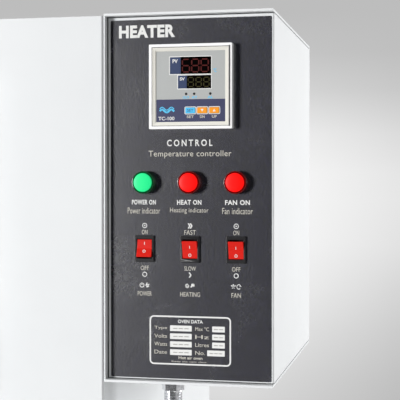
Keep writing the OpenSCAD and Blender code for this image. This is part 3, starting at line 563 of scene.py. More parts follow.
def turned(profile: Sequence[tuple[float, float]], segments: int = 48) -> bmesh.types.BMesh:
    """Spins a profile about the Y axis.

    Args:
        profile: Radius and distance towards -Y of each point, from one pole to the other.
        segments: Number of steps in the turn.

    Returns:
        A closed mesh.
    """
    bm = bmesh.new()
    row = [bm.verts.new((radius, -out, 0)) for radius, out in profile]
    line = [bm.edges.new(pair) for pair in zip(row, row[1:])]
    bmesh.ops.spin(bm, geom=row + line, cent=(0, 0, 0), axis=(0, 1, 0), angle=math.tau,
                   steps=segments, use_merge=True)
    bmesh.ops.remove_doubles(bm, verts=bm.verts, dist=0.001 * MM)
    bmesh.ops.recalc_face_normals(bm, faces=bm.faces)
    return bm


def screw_head(radius: float, height: float) -> bmesh.types.BMesh:
    """Makes a pan head with a cross recess, which faces -Y.

    Args:
        radius: Radius of the head.
        height: Height of the head.

    Returns:
        A closed mesh.
    """
    inner, slit, middle = radius * 0.55, 0.45, radius * 0.3
    bm = bmesh.new()
    bmesh.ops.create_grid(bm, x_segments=3, y_segments=3, size=inner)
    bmesh.ops.rotate(bm, verts=bm.verts, cent=(0, 0, 0), matrix=UPRIGHT)
    slim = [v for v in bm.verts if abs(v.co.x) < middle]
    bmesh.ops.scale(bm, vec=(slit, 1, 1), verts=slim)
    flat = [v for v in bm.verts if abs(v.co.z) < middle]
    bmesh.ops.scale(bm, vec=(1, 1, slit), verts=flat)
    bmesh.ops.translate(bm, verts=bm.verts, vec=(0, -height, 0))
    cross = [f for f in bm.faces if min(map(abs, f.calc_center_median().xz)) < radius * 0.05]
    border = [e for e in bm.edges if e.is_boundary]
    for out, size in ((height * 0.82, 0.86), (height * 0.35, 1.0), (0.0, 1.0)):
        wall = bmesh.ops.extrude_edge_only(bm, edges=border)["geom"]
        rim = [g for g in wall if isinstance(g, bmesh.types.BMVert)]
        border = [g for g in wall if isinstance(g, bmesh.types.BMEdge)]
        for v in rim:
            flat_place = Vector((v.co.x, 0, v.co.z)).normalized() * radius * size
            v.co = Vector((flat_place.x, -out, flat_place.z))
    bmesh.ops.edgeloop_fill(bm, edges=border)
    sunk = bmesh.ops.extrude_face_region(bm, geom=cross)["geom"]
    floor = [g for g in sunk if isinstance(g, bmesh.types.BMVert)]
    bmesh.ops.translate(bm, verts=floor, vec=(0, height * 0.6, 0))
    bmesh.ops.delete(bm, geom=[f for f in cross if f.is_valid], context="FACES_ONLY")
    bmesh.ops.recalc_face_normals(bm, faces=bm.faces)
    return bm


def bar(start: tuple[float, float], end: tuple[float, float], width: float, depth: float,
        radius: float = 0.0) -> bmesh.types.BMesh:
    """Makes a thin flat bar between two points of the plane y = 0.

    Args:
        start: Where its middle line starts, along X and Z.
        end: Where its middle line ends.
        width: Its width.
        depth: Its thickness.
        radius: Radius of its corners.

    Returns:
        A closed mesh.
    """
    a, b = Vector((start[0], 0, start[1])), Vector((end[0], 0, end[1]))
    run = b - a
    bm = rounded_plate(run.length, width, depth, radius)
    turn = Matrix.Rotation(-math.atan2(run.z, run.x), 4, "Y")
    bmesh.ops.transform(bm, verts=bm.verts, matrix=Matrix.Translation((a + b) / 2) @ turn)
    return bm


def lettering(words: str, depth: float, weight: float = 0.0, gap: float = 1.0) -> bmesh.types.BMesh:
    """Sets words in the built-in face as thin solid letters that face -Y.

    Args:
        words: What they say.
        depth: Their thickness, before they are fitted to a place.
        weight: How much bolder than the plain face they are.
        gap: Space between letters, 1 for the face's own.

    Returns:
        A closed mesh.
    """
    curve = bpy.data.curves.new("lettering", "FONT")
    curve.body, curve.extrude, curve.offset = words, depth / 2, weight
    curve.space_character, curve.resolution_u, curve.fill_mode = gap, 3, "BOTH"
    holder = bpy.data.objects.new("lettering", curve)
    bpy.context.scene.collection.objects.link(holder)
    seen = holder.evaluated_get(bpy.context.evaluated_depsgraph_get())
    mesh = bpy.data.meshes.new_from_object(seen)
    bpy.data.objects.remove(holder)
    bpy.data.curves.remove(curve)
    bm = bmesh.new()
    bm.from_mesh(mesh)
    bpy.data.meshes.remove(mesh)
    bmesh.ops.remove_doubles(bm, verts=bm.verts, dist=1e-5)
    bmesh.ops.rotate(bm, verts=bm.verts, cent=(0, 0, 0), matrix=UPRIGHT)
    return bm


def fitted(
    bm: bmesh.types.BMesh, x: tuple[float, float], z: tuple[float, float], depth: float
) -> bmesh.types.BMesh:
    """Scales and moves a flat mesh so that it fills a place on the plane y = 0.

    Args:
        bm: The mesh.
        x: The place's left and right.
        z: The place's bottom and top.
        depth: How far the mesh rises towards -Y.

    Returns:
        The same mesh.
    """
    low, high = corners_of(v.co for v in bm.verts)
    span = high - low
    scale = Vector(((x[1] - x[0]) / span.x, depth / max(span.y, 1e-9), (z[1] - z[0]) / span.z))
    bmesh.ops.translate(bm, verts=bm.verts, vec=Vector((-low.x, -high.y, -low.z)))
    bmesh.ops.scale(bm, vec=scale, verts=bm.verts)
    bmesh.ops.translate(bm, verts=bm.verts, vec=Vector((x[0], 0, z[0])))
    return bm


def facing_from(seat: Vector, facing: Vector) -> Matrix:
    """Gives the transform that seats a part made to face -Y and turns it to face another way."""
    turn = Vector((0, -1, 0)).rotation_difference(facing).to_matrix().to_4x4()
    return Matrix.Translation(seat) @ turn


def softened(node: str, edge: float, steepest: float = 40.0) -> bmesh.types.BMesh:
    """Copies a CAD node's mesh, with its facets joined into whole faces and its edges rounded.

    Args:
        node: The CAD node.
        edge: Radius of the rounded edges; 0 leaves them sharp.
        steepest: Only edges that turn by more than this many degrees are rounded.

    Returns:
        The new mesh, in the node's own place.
    """
    bm = bmesh.new()
    bm.from_mesh(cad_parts[node].data)
    bmesh.ops.remove_doubles(bm, verts=bm.verts, dist=MERGE)
    bmesh.ops.dissolve_limit(bm, angle_limit=math.radians(0.4), verts=bm.verts, edges=bm.edges,
                             delimit=set())
    if edge:
        sharp = [
            e for e in bm.edges
            if e.is_manifold and e.calc_face_angle(0) > math.radians(steepest)
            and e.calc_length() > 0.6 * edge
        ]
        bevelled(bm, sharp, edge, EDGE_STEPS, clamp_overlap=False, miter_outer="ARC")
    return bm


class Shape:
    """One piece in the making: solids join it, each in its own finish."""

    def __init__(self) -> None:
        """Starts empty."""
        self.bm = bmesh.new()
        self.finishes: list[Finish] = []

    def join(
        self, part: bmesh.types.BMesh, finish: Finish, place: Vector | Matrix = Vector()
    ) -> None:
        """Adds a solid.

        Args:
            part: The solid, which is used up.
            finish: Its finish.
            place: Where its origin goes, or the whole transform.
        """
        if finish not in self.finishes:
            self.finishes.append(finish)
        index = self.finishes.index(finish)
        for face in part.faces:
            face.material_index = index
        matrix = place if isinstance(place, Matrix) else Matrix.Translation(place)
        part.transform(matrix)
        mesh = bpy.data.meshes.new("part")
        part.to_mesh(mesh)
        part.free()
        self.bm.from_mesh(mesh)
        bpy.data.meshes.remove(mesh)

    def leave(
        self, name: str, body: Body, stands_for: Iterable[str] = (), smooth: float = 50.0
    ) -> bpy.types.Object:
        """Turns the shape into a finished object.

        Args:
            name: The object's name.
            body: The CAD body it rides on.
            stands_for: CAD nodes that it replaces.
            smooth: Edges that turn by less than this many degrees are shaded smooth.

        Returns:
            The object.
        """
        mesh = bpy.data.meshes.new(name)
        self.bm.to_mesh(mesh)
        self.bm.free()
        for finish in self.finishes:
            mesh.materials.append(finish.material())
        mesh.polygons.foreach_set("use_smooth", [True] * len(mesh.polygons))
        mesh.set_sharp_from_angle(angle=math.radians(smooth))
        piece = bpy.data.objects.new(name, mesh)
        bpy.context.scene.collection.objects.link(piece)
        even = piece.modifiers.new("even shading", "WEIGHTED_NORMAL")
        even.weight, even.keep_sharp = 60, True
        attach(piece, body.value)
        nodes = list(stands_for)
        if nodes:
            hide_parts(*nodes)
        LOG.info("%s rides on %s, %d faces", name, body.value, len(mesh.polygons))
        return piece


def dress(node: str, finish: Finish) -> None:
    """Gives a CAD node that keeps its shape its finish.

    Args:
        node: The CAD node.
        finish: Its finish.
    """
    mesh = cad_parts[node].data
    mesh.materials.clear()
    mesh.materials.append(finish.material())
    LOG.info("%s keeps its CAD shape in %s", node, finish.name)


def soft_copy(node: str, body: Body, finish: Finish, edge: float) -> bpy.types.Object:
    """Replaces a CAD node by a copy with rounded edges.

    Args:
        node: The CAD node.
        body: The CAD body it rides on.
        finish: Its finish.
        edge: Radius of its edges.

    Returns:
        The new object.
    """
    shape = Shape()
    shape.join(softened(node, edge), finish)
    return shape.leave(f"{node}_finished", body, [node])


# Places on the panel ----------------------------------------------------


@dataclass(frozen=True)
class Panel:
    """The control panel's own drawing plane.

    Attributes:
        corner: The box's lower outer corner, at the panel's plane.
        surface: Depth of the printed film's face.
    """

    corner: Vector
    surface: float

    @classmethod
    def measured(cls) -> "Panel":
        """Reads the panel's place from the CAD nodes."""
        cover, shell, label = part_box("box_cover"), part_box("box_shell"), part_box("control_label")
        return cls(Vector((cover[1].x, cover[0].y, shell[0].z)), label[0].y)

    def at(self, x: float, z: float, out: float = 0.0) -> Vector:
        """Gives the point x and z millimetres from the corner, out of the film by out."""
        return Vector((self.corner.x + x * MM, self.surface - out * MM, self.corner.z + z * MM))

    def span(
        self, x: tuple[float, float], z: tuple[float, float]
    ) -> dict[str, tuple[float, float]]:
        """Turns a place in millimetres into the x and z limits that fitted takes."""
        low, high = self.at(x[0], z[0]), self.at(x[1], z[1])
        return {"x": (low.x, high.x), "z": (low.z, high.z)}


@dataclass(frozen=True)
class Legend:
    """Words printed in one place.

    Attributes:
        words: What they say.
        x: Left and right, in millimetres.
        z: Bottom and top, in millimetres.
        weight: How bold they are.
        gap: Space between letters.
    """

    words: str
    x: tuple[float, float]
    z: tuple[float, float]
    weight: float = 0.0
    gap: float = 1.0


PANEL = Panel.measured()
PRINT = 0.06 * MM


def print_on(shape: Shape, legend: Legend, ink: Finish, surface: float) -> None:
    """Prints a legend.

    Args:
        shape: The piece that the print is part of.
        legend: The words and their place.
        ink: The ink.
        surface: Depth of the face under the print.
    """
    part = lettering(legend.words, 0.1, legend.weight, legend.gap)
    fitted(part, **PANEL.span(legend.x, legend.z), depth=PRINT)
    shape.join(part, ink, Vector((0, surface, 0)))


def centred(words: str, x: float, width: float, z: tuple[float, float], weight: float = 0.0,
            gap: float = 1.0) -> Legend:
    """Makes a legend centred on x."""
    return Legend(words, (x - width / 2, x + width / 2), z, weight, gap)


# Fasteners --------------------------------------------------------------


@dataclass(frozen=True)
class Fastener:
    """One screw as the CAD model places it.

    Attributes:
        seat: Middle of the face that its head stands on.
        facing: Direction out of its head.
        head: Radius of its head.
        height: Height of its head.
        length: Length of its shank.
    """

    seat: Vector
    facing: Vector
    head: float
    height: float
    length: float

    @classmethod
    def found(cls, node: str) -> list["Fastener"]:
        """Reads every screw of a CAD node.

        Args:
            node: The node, whose loose parts are screws.

        Returns:
            The screws.
        """
        bm = bmesh.new()
        bm.from_mesh(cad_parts[node].data)
        bmesh.ops.remove_doubles(bm, verts=bm.verts, dist=MERGE)
        left, screws = set(bm.verts), []
        while left:
            reach = [left.pop()]
            part = list(reach)
            while reach:
                near = [e.other_vert(v) for v in reach for e in v.link_edges]
                reach = list({v for v in near if v in left})
                left.difference_update(reach)
                part += reach
            screws.append(cls._read([v.co.copy() for v in part]))
        bm.free()
        return sorted(screws, key=lambda s: tuple(s.seat))

    @classmethod
    def _read(cls, points: Sequence[Vector]) -> "Fastener":
        """Measures one screw.

        Args:
            points: Its points.

        Returns:
            The screw.
        """
        low, high = corners_of(points)
        span = high - low
        middle = sorted(span)[1]
        axis = max(range(3), key=lambda i: abs(span[i] - middle))
        across = [i for i in range(3) if i != axis]
        centre = (low + high) / 2
        head = span[across[0]] / 2
        wide = [p[axis] for p in points
                if math.hypot(*(p[i] - centre[i] for i in across)) > 0.8 * head]
        at_top = abs(max(wide) - high[axis]) < 0.01 * MM
        seat = centre.copy()
        seat[axis] = min(wide) if at_top else max(wide)
        facing = Vector()
        facing[axis] = 1.0 if at_top else -1.0
        height = max(wide) - min(wide)
        return cls(seat, facing, head, height, span[axis] - height)

    def placed(self, shape: Shape, finish: Finish) -> None:
        """Adds the screw to a piece: a domed head with a cross recess, and a plain shank.

        Args:
            shape: The piece.
            finish: The screw's finish.
        """
        place = facing_from(self.seat, self.facing)
        shape.join(screw_head(self.head, self.height), finish, place)
        shank = self.head * 0.5
        profile = [(0, -self.length), (shank * 0.6, -self.length), (shank, -self.length * 0.9),
                   (shank, -0.01 * MM), (0, -0.01 * MM)]
        shape.join(turned(profile, 20), finish, place)


# Sub-assemblies ---------------------------------------------------------


@dataclass
class Casing:
    """The painted case with its base, feet, rear panel, hinges and screws.

    Attributes:
        fold: Radius of the folded sheet's edges.
        bend: Radius of the front uprights in the CAD model, and here.
        foot: Radius of a foot at its top.
        rib: Depth of a foot's moulded grooves.
        shank: Radius of a foot's shank.
    """

    fold: float = 0.4 * MM
    bend: tuple[float, float] = (6 * MM, 2.4 * MM)
    foot: float = 22 * MM
    rib: float = 1.2 * MM
    shank: float = 4 * MM

    def build(self) -> None:
        """Makes every piece of the case."""
        self._shell()
        soft_copy("rear_panel", Body.CASING, PAINT, self.fold)
        dress("base_pan", ZINC)
        self._feet()
        soft_copy("body_hinge_leaves", Body.CASING, PLATED, 0.3 * MM)
        soft_copy("hinge_pins", Body.CASING, PLATED, 0.4 * MM)
        soft_copy("catch_magnet", Body.CASING, BLACK, 0.6 * MM)
        shape = Shape()
        for screw in Fastener.found("casing_screws"):
            screw.placed(shape, PLATED)
        shape.leave("casing_screws_finished", Body.CASING, ["casing_screws"])

    def _shell(self) -> None:
        """Copies the outer shell with its two front uprights folded tighter."""
        low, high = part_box("outer_shell")
        shell = softened("outer_shell", self.fold)
        for side, inward in ((high.x, -1), (low.x, 1)):
            centre = Vector((side + inward * self.bend[0], low.y + self.bend[0]))
            tighter = Vector((side + inward * self.bend[1], low.y + self.bend[1]))
            for v in shell.verts:
                spoke = v.co.xy - centre
                if spoke.x * inward < 1e-5 and spoke.y < 1e-5 and spoke.length > 3.5 * MM:
                    radius = max(spoke.length - self.bend[0] + self.bend[1], 0.4 * MM)
                    v.co.xy = tighter + spoke.normalized() * radius
        shape = Shape()
        shape.join(shell, PAINT)
        shape.leave("outer_shell_finished", Body.CASING, ["outer_shell"])

    def _feet(self) -> None:
        """Turns four ribbed rubber feet."""
        low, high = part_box("feet")
        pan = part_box("base_pan")[0].z
        top = pan - 0.02 * MM
        xs = (low.x + self.foot, high.x - self.foot)
        ys = (low.y + self.foot, high.y - self.foot)
        profile = [(0, 0), (15 * MM, 0), (16.4 * MM, 0.8 * MM), (17.6 * MM, 4 * MM)]
        for step in range(4):
            z = (9 + 8.5 * step) * MM
            wide = 18.2 * MM + 0.95 * MM * step
            profile += [(wide, z), (wide - self.rib, z + 1 * MM), (wide - self.rib, z + 2.4 * MM),
                        (wide + 0.3 * MM, z + 3.4 * MM)]
        profile += [(self.foot, pan - 3 * MM), (self.foot - 0.8 * MM, top), (self.shank, top),
                    (self.shank, high.z), (0, high.z)]
        shape = Shape()
        upright = Matrix.Rotation(-math.pi / 2, 4, "X")
        for x in xs:
            for y in ys:
                shape.join(turned(profile), RUBBER, Matrix.Translation((x, y, 0)) @ upright)
        shape.leave("feet_finished", Body.CASING, ["feet"])


@dataclass
class Chamber:
    """The stainless chamber, its shelves, heaters and probe, and the wool round it.

    Attributes:
        edge: Radius of the sheet's cut edges.
    """

    edge: float = 0.25 * MM

    def build(self) -> None:
        """Makes every piece of the chamber."""
        dress("chamber_liner", STAINLESS_DEEP)
        dress("insulation", WOOL)
        dress("floor_plate", STAINLESS)
        dress("duct_panel", STAINLESS)
        dress("shelf_supports", STAINLESS_DEEP)
        for node in ("upper_shelf", "lower_shelf"):
            soft_copy(node, Body.CASING, STAINLESS, self.edge)
        dress("heating_elements", SHEATH)
        dress("temperature_probe", STAINLESS)


@dataclass
class Airflow:
    """The fan, its motor and the vent on the roof.

    Attributes:
        edge: Radius of the turned parts' edges.
    """

    edge: float = 0.4 * MM

    def build(self) -> None:
        """Makes the fan's and the vent's pieces."""
        dress("fan_impeller", ZINC)
        dress("fan_shaft", PLATED)
        dress("motor_bracket", ZINC)
        soft_copy("fan_motor", Body.CASING, MOTOR, self.edge)
        soft_copy("vent_tube", Body.CASING, STAINLESS, 0.25 * MM)
        soft_copy("vent_cap", Body.VENT_DAMPER, BLACK, 0.5 * MM)


@dataclass
class Door:
    """The hinged door with its window, handle and gasket.

    Attributes:
        fold: Radius of the folded sheet's edges.
    """

    fold: float = 0.5 * MM

    def build(self) -> None:
        """Makes every piece of the door."""
        soft_copy("door_outer_shell", Body.DOOR, PAINT, self.fold)
        soft_copy("door_inner_pan", Body.DOOR, STAINLESS, 0.3 * MM)
        dress("door_insulation", WOOL)
        soft_copy("door_gasket", Body.DOOR, SILICONE, 1.6 * MM)
        soft_copy("window_frame", Body.DOOR, STAINLESS, 0.4 * MM)
        dress("window_panes", GLASS)
        soft_copy("door_handle", Body.DOOR, BLACK, 0.5 * MM)
        soft_copy("door_hinge_leaves", Body.DOOR, PLATED, 0.3 * MM)
        shape = Shape()
        for screw in Fastener.found("door_screws"):
            screw.placed(shape, PLATED)
        shape.leave("door_screws_finished", Body.DOOR, ["door_screws"])


@dataclass
class ControlBox:
    """The box's sheets, the printed film on its panel and the devices inside it.

    Attributes:
        fold: Radius of the folded sheet's edges.
        columns: Middle of each column of controls, in millimetres.
        table: Left and right, bottom and top of the name plate, in millimetres.
        fields: The names in each row of the name plate.
        field: Height of a field, in millimetres.
        rows: Bottom of the first row's fields and the step down to the next row.
        gap: Width of the black strip painted as the shadow in the gap beside the cover, in
            millimetres.
    """

    fold: float = 0.45 * MM
    columns: tuple[float, float, float] = (-149.9, -96.5, -43.1)
    table: tuple[tuple[float, float], tuple[float, float]] = ((-144.2, -49.0), (21.3, 77.5))
    fields: tuple[tuple[str, str], ...] = (
        ("Type", "Max °C"), ("Volts", "Hz"), ("Watts", "Litres"), ("Date", "No.")
    )
    field: float = 6.5
    rows: tuple[float, float] = (60.0, 9.15)
    gap: float = 1.6

    def build(self) -> None:
        """Makes the box, its film with the print, and the devices."""
        soft_copy("box_shell", Body.CASING, PAINT, self.fold)
        soft_copy("box_cover", Body.CASING, PAINT, 0.3 * MM)
        soft_copy("control_label", Body.CASING, FILM, 0.1 * MM)
        self._paint_gap_shadow()
        self._panel_print()
        self._nameplate()
        for node, finish in (
            ("din_rail", ZINC), ("contactor", BLACK), ("circuit_breaker", DEVICE),
            ("terminal_block", DEVICE), ("heat_sink", ALUMINIUM), ("solid_state_relay", DEVICE),
        ):
            dress(node, finish)

    def _paint_gap_shadow(self) -> None:
        """Lays painted shadow, a black strip, between the cover and the shell's inner lip."""
        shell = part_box("box_shell")
        inner = (shell[0].x - PANEL.corner.x) / MM + 1.25
        low, high = 3.2, (shell[1].z - PANEL.corner.z) / MM - 3.1
        shape = Shape()
        middle = PANEL.at(inner + self.gap / 2, (low + high) / 2)
        middle.y = PANEL.corner.y
        # A black strip painted as the shadow in the gap beside the left lip.
        shape.join(rounded_plate(self.gap * MM, (high - low) * MM, PRINT), PAINTED_HOLLOW_SHADE, middle)
        shape.leave("cover_gap", Body.CASING)

    def legends(self) -> list[tuple[Legend, Finish]]:
        """Lists the words on the panel.

        Returns:
            Each legend with its ink.
        """
        white, cream = INK_WHITE, INK_CREAM
        rows = [
            (Legend("HEATER", (-180.3, -114.0), (395.7, 410.2), 0.045, 1.06), white),
            (centred("CONTROL", -97.0, 53.0, (271.3, 278.9), 0.02, 1.5), white),
            (centred("Temperature controller", -96.9, 96.6, (257.6, 266.3), 0.0, 1.06), cream),
        ]
        left, middle, right = self.columns
        for x, first, second, width in (
            (left - 1.0, "POWER ON", "Power indicator", 38.5),
            (middle - 1.0, "HEAT ON", "Heating indicator", 45.0),
            (right + 1.4, "FAN ON", "Fan indicator", 35.0),
        ):
            rows.append((centred(first, x, 28.5, (204.6, 210.2), 0.03, 1.1), white))
            rows.append((centred(second, x, width, (194.2, 201.2), 0.0, 1.05), cream))
        for x, up, down, word, high, low, wide in (
            (left, "ON", "OFF", "POWER", 6.8, 9.8, 16.7),
            (middle, "FAST", "SLOW", "HEATING", 13.4, 13.6, 23.2),
            (right, "ON", "OFF", "FAN", 6.8, 9.8, 10.8),
        ):
            rows.append((centred(up, x, high, (170.4, 175.7)), cream))
            rows.append((centred(down, x, low, (129.3, 134.4)), cream))
            rows.append((centred(word, x, wide, (99.7, 105.0)), cream))
        return rows

    def symbols(self) -> list[tuple[Legend, Finish]]:
        """Lists the signs on the panel.

        Returns:
            Each sign with its ink.
        """
        left, middle, right = self.columns
        rows = []
        for x, up, down, pair in (
            (left, "⊙", "○", ("⏻", "↯")),
            (middle, "»", "›", ("☼", "♨")),
            (right, "⊙", "○", ("✽", "⟳")),
        ):
            wide = 5.6 if down == "○" else 3.6
            rows.append((centred(up, x, 5.8, (177.6, 183.5), 0.02), INK_WHITE))
            rows.append((centred(down, x, wide, (121.6, 127.4), 0.02), INK_WHITE))
            for side, sign in zip((-3.3, 3.3), pair):
                rows.append((centred(sign, x + side, 5.6, (109.2, 115.1), 0.02), INK_WHITE))
        return rows

    def _panel_print(self) -> None:
        """Prints the words and signs."""
        shape = Shape()
        for legend, ink in self.legends() + self.symbols():
            print_on(shape, legend, ink, PANEL.surface)
        shape.leave("panel_print", Body.CASING)

    def _nameplate(self) -> None:
        """Prints the outlined table of data fields, which are left unfilled."""
        shape = Shape()
        x, z = self.table
        outline = ring_plate((x[1] - x[0]) * MM, (z[1] - z[0]) * MM, PRINT, 1.7 * MM, 5 * MM)
        shape.join(outline, INK_WHITE, PANEL.at(sum(x) / 2, sum(z) / 2))
        head = centred("OVEN DATA", -96.2, 29.2, (69.3, 73.3), 0.02)
        print_on(shape, head, INK_WHITE, PANEL.surface)
        first, step = self.rows
        for row, (near, far) in enumerate(self.fields):
            low = first - step * row
            last = near == "Date"
            self._blank(shape, -120.0, -94.6, low)
            self._blank(shape, -76.6 if last else -70.8, -56.2, low)
            letters = (low + 1.0, low + 5.4)
            print_on(shape, Legend(near, (-138.5, -123.5), letters), INK_CREAM, PANEL.surface)
            far_x = (-90.5, -79.0 if last else -74.5)
            print_on(shape, Legend(far, far_x, letters), INK_CREAM, PANEL.surface)
        for foot in (
            centred("Hot air oven", -96.0, 28.0, (28.0, 31.4), 0.02),
            centred("Keep the vent clear", -97.5, 41.0, (23.9, 26.2)),
        ):
            print_on(shape, foot, INK_CREAM, PANEL.surface)
        shape.leave("nameplate_print", Body.CASING)

    def _blank(self, shape: Shape, left: float, right: float, low: float) -> None:
        """Prints one unfilled field with a row of dashes.

        Args:
            shape: The piece that it is part of.
            left: Its left side, in millimetres.
            right: Its right side.
            low: Its bottom.
        """
        wide, middle = right - left, (left + right) / 2
        plate = rounded_plate(wide * MM, self.field * MM, PRINT, 0.6 * MM)
        shape.join(plate, INK_WHITE, PANEL.at(middle, low + self.field / 2))
        dashes = "— — —" if wide > 20 else "— —"
        row = centred(dashes, middle, wide * 0.72, (low + 2.7, low + 3.5))
        print_on(shape, row, INK_GREY, PANEL.surface - PRINT)


@dataclass
class Controller:
    """The square temperature controller: bezel, face, displays and keys.

    Attributes:
        middle: Its middle on the panel, in millimetres.
        width: Side of its bezel.
        rim: Width of the bezel's bright rim.
        segment_gap: Space between two segments of a digit.
        windows: Left and right, bottom and top of each window's printed outline, in millimetres.
        dots: Middle of each small lamp's hole, drawn as a black disc of painted shade, in
            millimetres.
        captions: Words on the face, their places in millimetres and their inks.
        keys: Node, body and middle in millimetres of each key.
        key_rows: Bottom and top of the holes for the keys, in millimetres.
        key_reach: Half the width of a key's hole, in millimetres.
        key_ring: Width and height of the printed outline round a key.
    """

    middle: tuple[float, float] = (-94.5, 338.7)
    width: float = 96 * MM
    rim: float = 3.2 * MM
    segment_gap: float = 0.25 * MM
    windows: tuple[tuple[tuple[float, float], tuple[float, float]], ...] = (
        ((-118.6, -70.7), (352.7, 372.1)),
        ((-109.2, -70.7), (336.2, 351.2)),
    )
    dots: tuple[float, float, float] = (-99.6, -90.3, -71.7)
    captions: tuple[tuple[str, tuple[float, float], tuple[float, float], Finish], ...] = (
        ("OUT", (-103.6, -96.0), (324.9, 327.6), INK_CYAN),
        ("AT", (-93.2, -86.6), (324.9, 327.6), INK_CYAN),
        ("AL", (-75.0, -68.2), (324.9, 327.6), INK_CYAN),
        ("°C", (-68.2, -64.6), (354.0, 358.6), INK_CYAN),
        ("SET", (-98.9, -90.6), (302.9, 305.9), INK_CREAM),
        ("DN", (-83.6, -78.3), (302.9, 305.9), INK_CREAM),
        ("UP", (-69.9, -64.2), (302.9, 305.9), INK_CREAM),
        ("TC-100", (-132.0, -113.2), (300.6, 304.7), INK_WHITE),
    )
    keys: tuple[tuple[str, Body, float], ...] = (
        ("set_key", Body.SET_BUTTON, -94.75),
        ("down_key", Body.DOWN_BUTTON, -80.95),
        ("up_key", Body.UP_BUTTON, -67.05),
    )
    key_rows: tuple[float, float] = (307.9, 315.1)
    key_reach: float = 5.9
    key_ring: tuple[float, float] = (13.4 * MM, 8.8 * MM)

    def __post_init__(self) -> None:
        """Reads the depths of its face from the CAD nodes."""
        self.bezel_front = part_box("controller_bezel")[0].y
        self.bezel_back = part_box("controller_bezel")[1].y
        self.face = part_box("controller_face")[0].y

    def build(self) -> None:
        """Makes every piece of the controller."""
        self._bezel()
        dress("controller_body", BLACK)
        self._face()
        self._displays()
        for name, body, x in self.keys:
            self._key(name, body, x)

    def _bezel(self) -> None:
        """Steps the bezel down from its bright rim to the face."""
        shape = Shape()
        centre = PANEL.at(*self.middle)
        centre.y = self.bezel_back
        deep = self.bezel_back - self.bezel_front
        # The black band after the rim is painted shade in the groove between the rim and the beige
        # steps.
        steps = ((0.0, 0.0, self.rim, BEZEL_WHITE), (self.rim, 0.9 * MM, 0.6 * MM, PAINTED_HOLLOW_SHADE),
                 (self.rim + 0.55 * MM, 0.7 * MM, 1.7 * MM, BEZEL_BEIGE),
                 (self.rim + 2.2 * MM, 1.15 * MM, 1.75 * MM, BEZEL_BEIGE),
                 (self.rim + 3.9 * MM, 1.7 * MM, 0.9 * MM, BEZEL_BEIGE))
        for inset, sunk, band, finish in steps:
            side = self.width - 2 * inset
            corner = 0.0 if inset else 0.9 * MM
            part = ring_plate(side, side, deep - sunk, band, corner, 0.22 * MM)
            shape.join(part, finish, centre)
        # A grey strip on the right of the rim is painted shadow in the groove there.
        groove = rounded_plate(1.5 * MM, self.width - 5.4 * MM, 0.3 * MM)
        beside = centre + Vector((self.width / 2 - 2.9 * MM, -deep, 0))
        shape.join(groove, PAINTED_GROOVE_SHADOW, beside)
        shape.leave("controller_bezel_finished", Body.CASING, ["controller_bezel"])

    def _face(self) -> None:
        """Prints the face: its navy foot, window outlines, lamps' holes in painted shade and
        captions.
        """
        shape = Shape()
        shape.join(softened("controller_face", 0.12 * MM), FACE_GREY)
        low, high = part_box("controller_face")
        left, right = (low.x - PANEL.corner.x) / MM, (high.x - PANEL.corner.x) / MM
        bottom = (low.z - PANEL.corner.z) / MM
        self._patch(shape, (left + 0.4, right - 0.4), (bottom + 1.0, 324.2), INK_NAVY, 0.0, True)
        for x, z in self.windows:
            wide, tall = (x[1] - x[0] + 1.6) * MM, (z[1] - z[0] + 1.6) * MM
            outline = ring_plate(wide, tall, PRINT, 0.8 * MM, 0.9 * MM)
            shape.join(outline, INK_WHITE, self._spot(sum(x) / 2, sum(z) / 2))
        # Each small lamp's hole is a black disc of painted shade.
        for x in self.dots:
            dot = turned([(0, 0), (1.5 * MM, 0), (1.5 * MM, PRINT), (0, PRINT)], 20)
            shape.join(dot, PAINTED_HOLLOW_SHADE, self._spot(x, 330.2))
        for words, x, z, ink in self.captions:
            print_on(shape, Legend(words, x, z, 0.02), ink, self.face - PRINT)
        self._wave(shape)
        for _, _, x in self.keys:
            ring = ring_plate(*self.key_ring, 2.2 * PRINT, 0.85 * MM, 1.5 * MM)
            shape.join(ring, INK_WHITE, self._spot(x, sum(self.key_rows) / 2))
        shape.leave("controller_face_finished", Body.CASING, ["controller_face"])

    def _spot(self, x: float, z: float, rise: float = 0.0) -> Vector:
        """Gives the point of the face at x and z millimetres, out of it by rise."""
        place = PANEL.at(x, z)
        return Vector((place.x, self.face - rise, place.z))

    def _patch(self, shape: Shape, x: tuple[float, float], z: tuple[float, float], ink: Finish,
               rise: float, holes: bool = False) -> None:
        """Prints a plain rectangle on the face.

        Args:
            shape: The piece that the print is part of.
            x: Left and right, in millimetres.
            z: Bottom and top, in millimetres.
            ink: The ink.
            rise: How far it stands over the face already.
            holes: Whether the keys' holes are left open.
        """
        spans = [(x, z)]
        if holes:
            low, high = self.key_rows
            sides = [k[2] + s * self.key_reach for k in self.keys for s in (-1, 1)]
            edges = [x[0], *sides, x[1]]
            spans = [(x, (z[0], low)), (x, (high, z[1]))]
            spans += [((edges[i], edges[i + 1]), (low, high)) for i in range(0, len(edges), 2)]
        for (x0, x1), (z0, z1) in spans:
            part = rounded_plate((x1 - x0) * MM, (z1 - z0) * MM, PRINT)
            shape.join(part, ink, self._spot((x0 + x1) / 2, (z0 + z1) / 2, rise))

    def _wave(self, shape: Shape) -> None:
        """Prints a plain cyan wave, where a maker's sign would stand.

        Args:
            shape: The piece that the print is part of.
        """
        line = [(-130.4 + 1.3 * i, 311.2 + 1.7 * math.sin(i * 0.75)) for i in range(14)]
        for row, width in ((0.0, 2.2), (2.6, 1.0)):
            for (x0, z0), (x1, z1) in zip(line, line[1:]):
                a, b = PANEL.at(x0, z0 + row), PANEL.at(x1, z1 + row)
                part = bar((a.x, a.z), (b.x, b.z), width * MM, 2 * PRINT)
                shape.join(part, INK_CYAN, Vector((0, self.face, 0)))

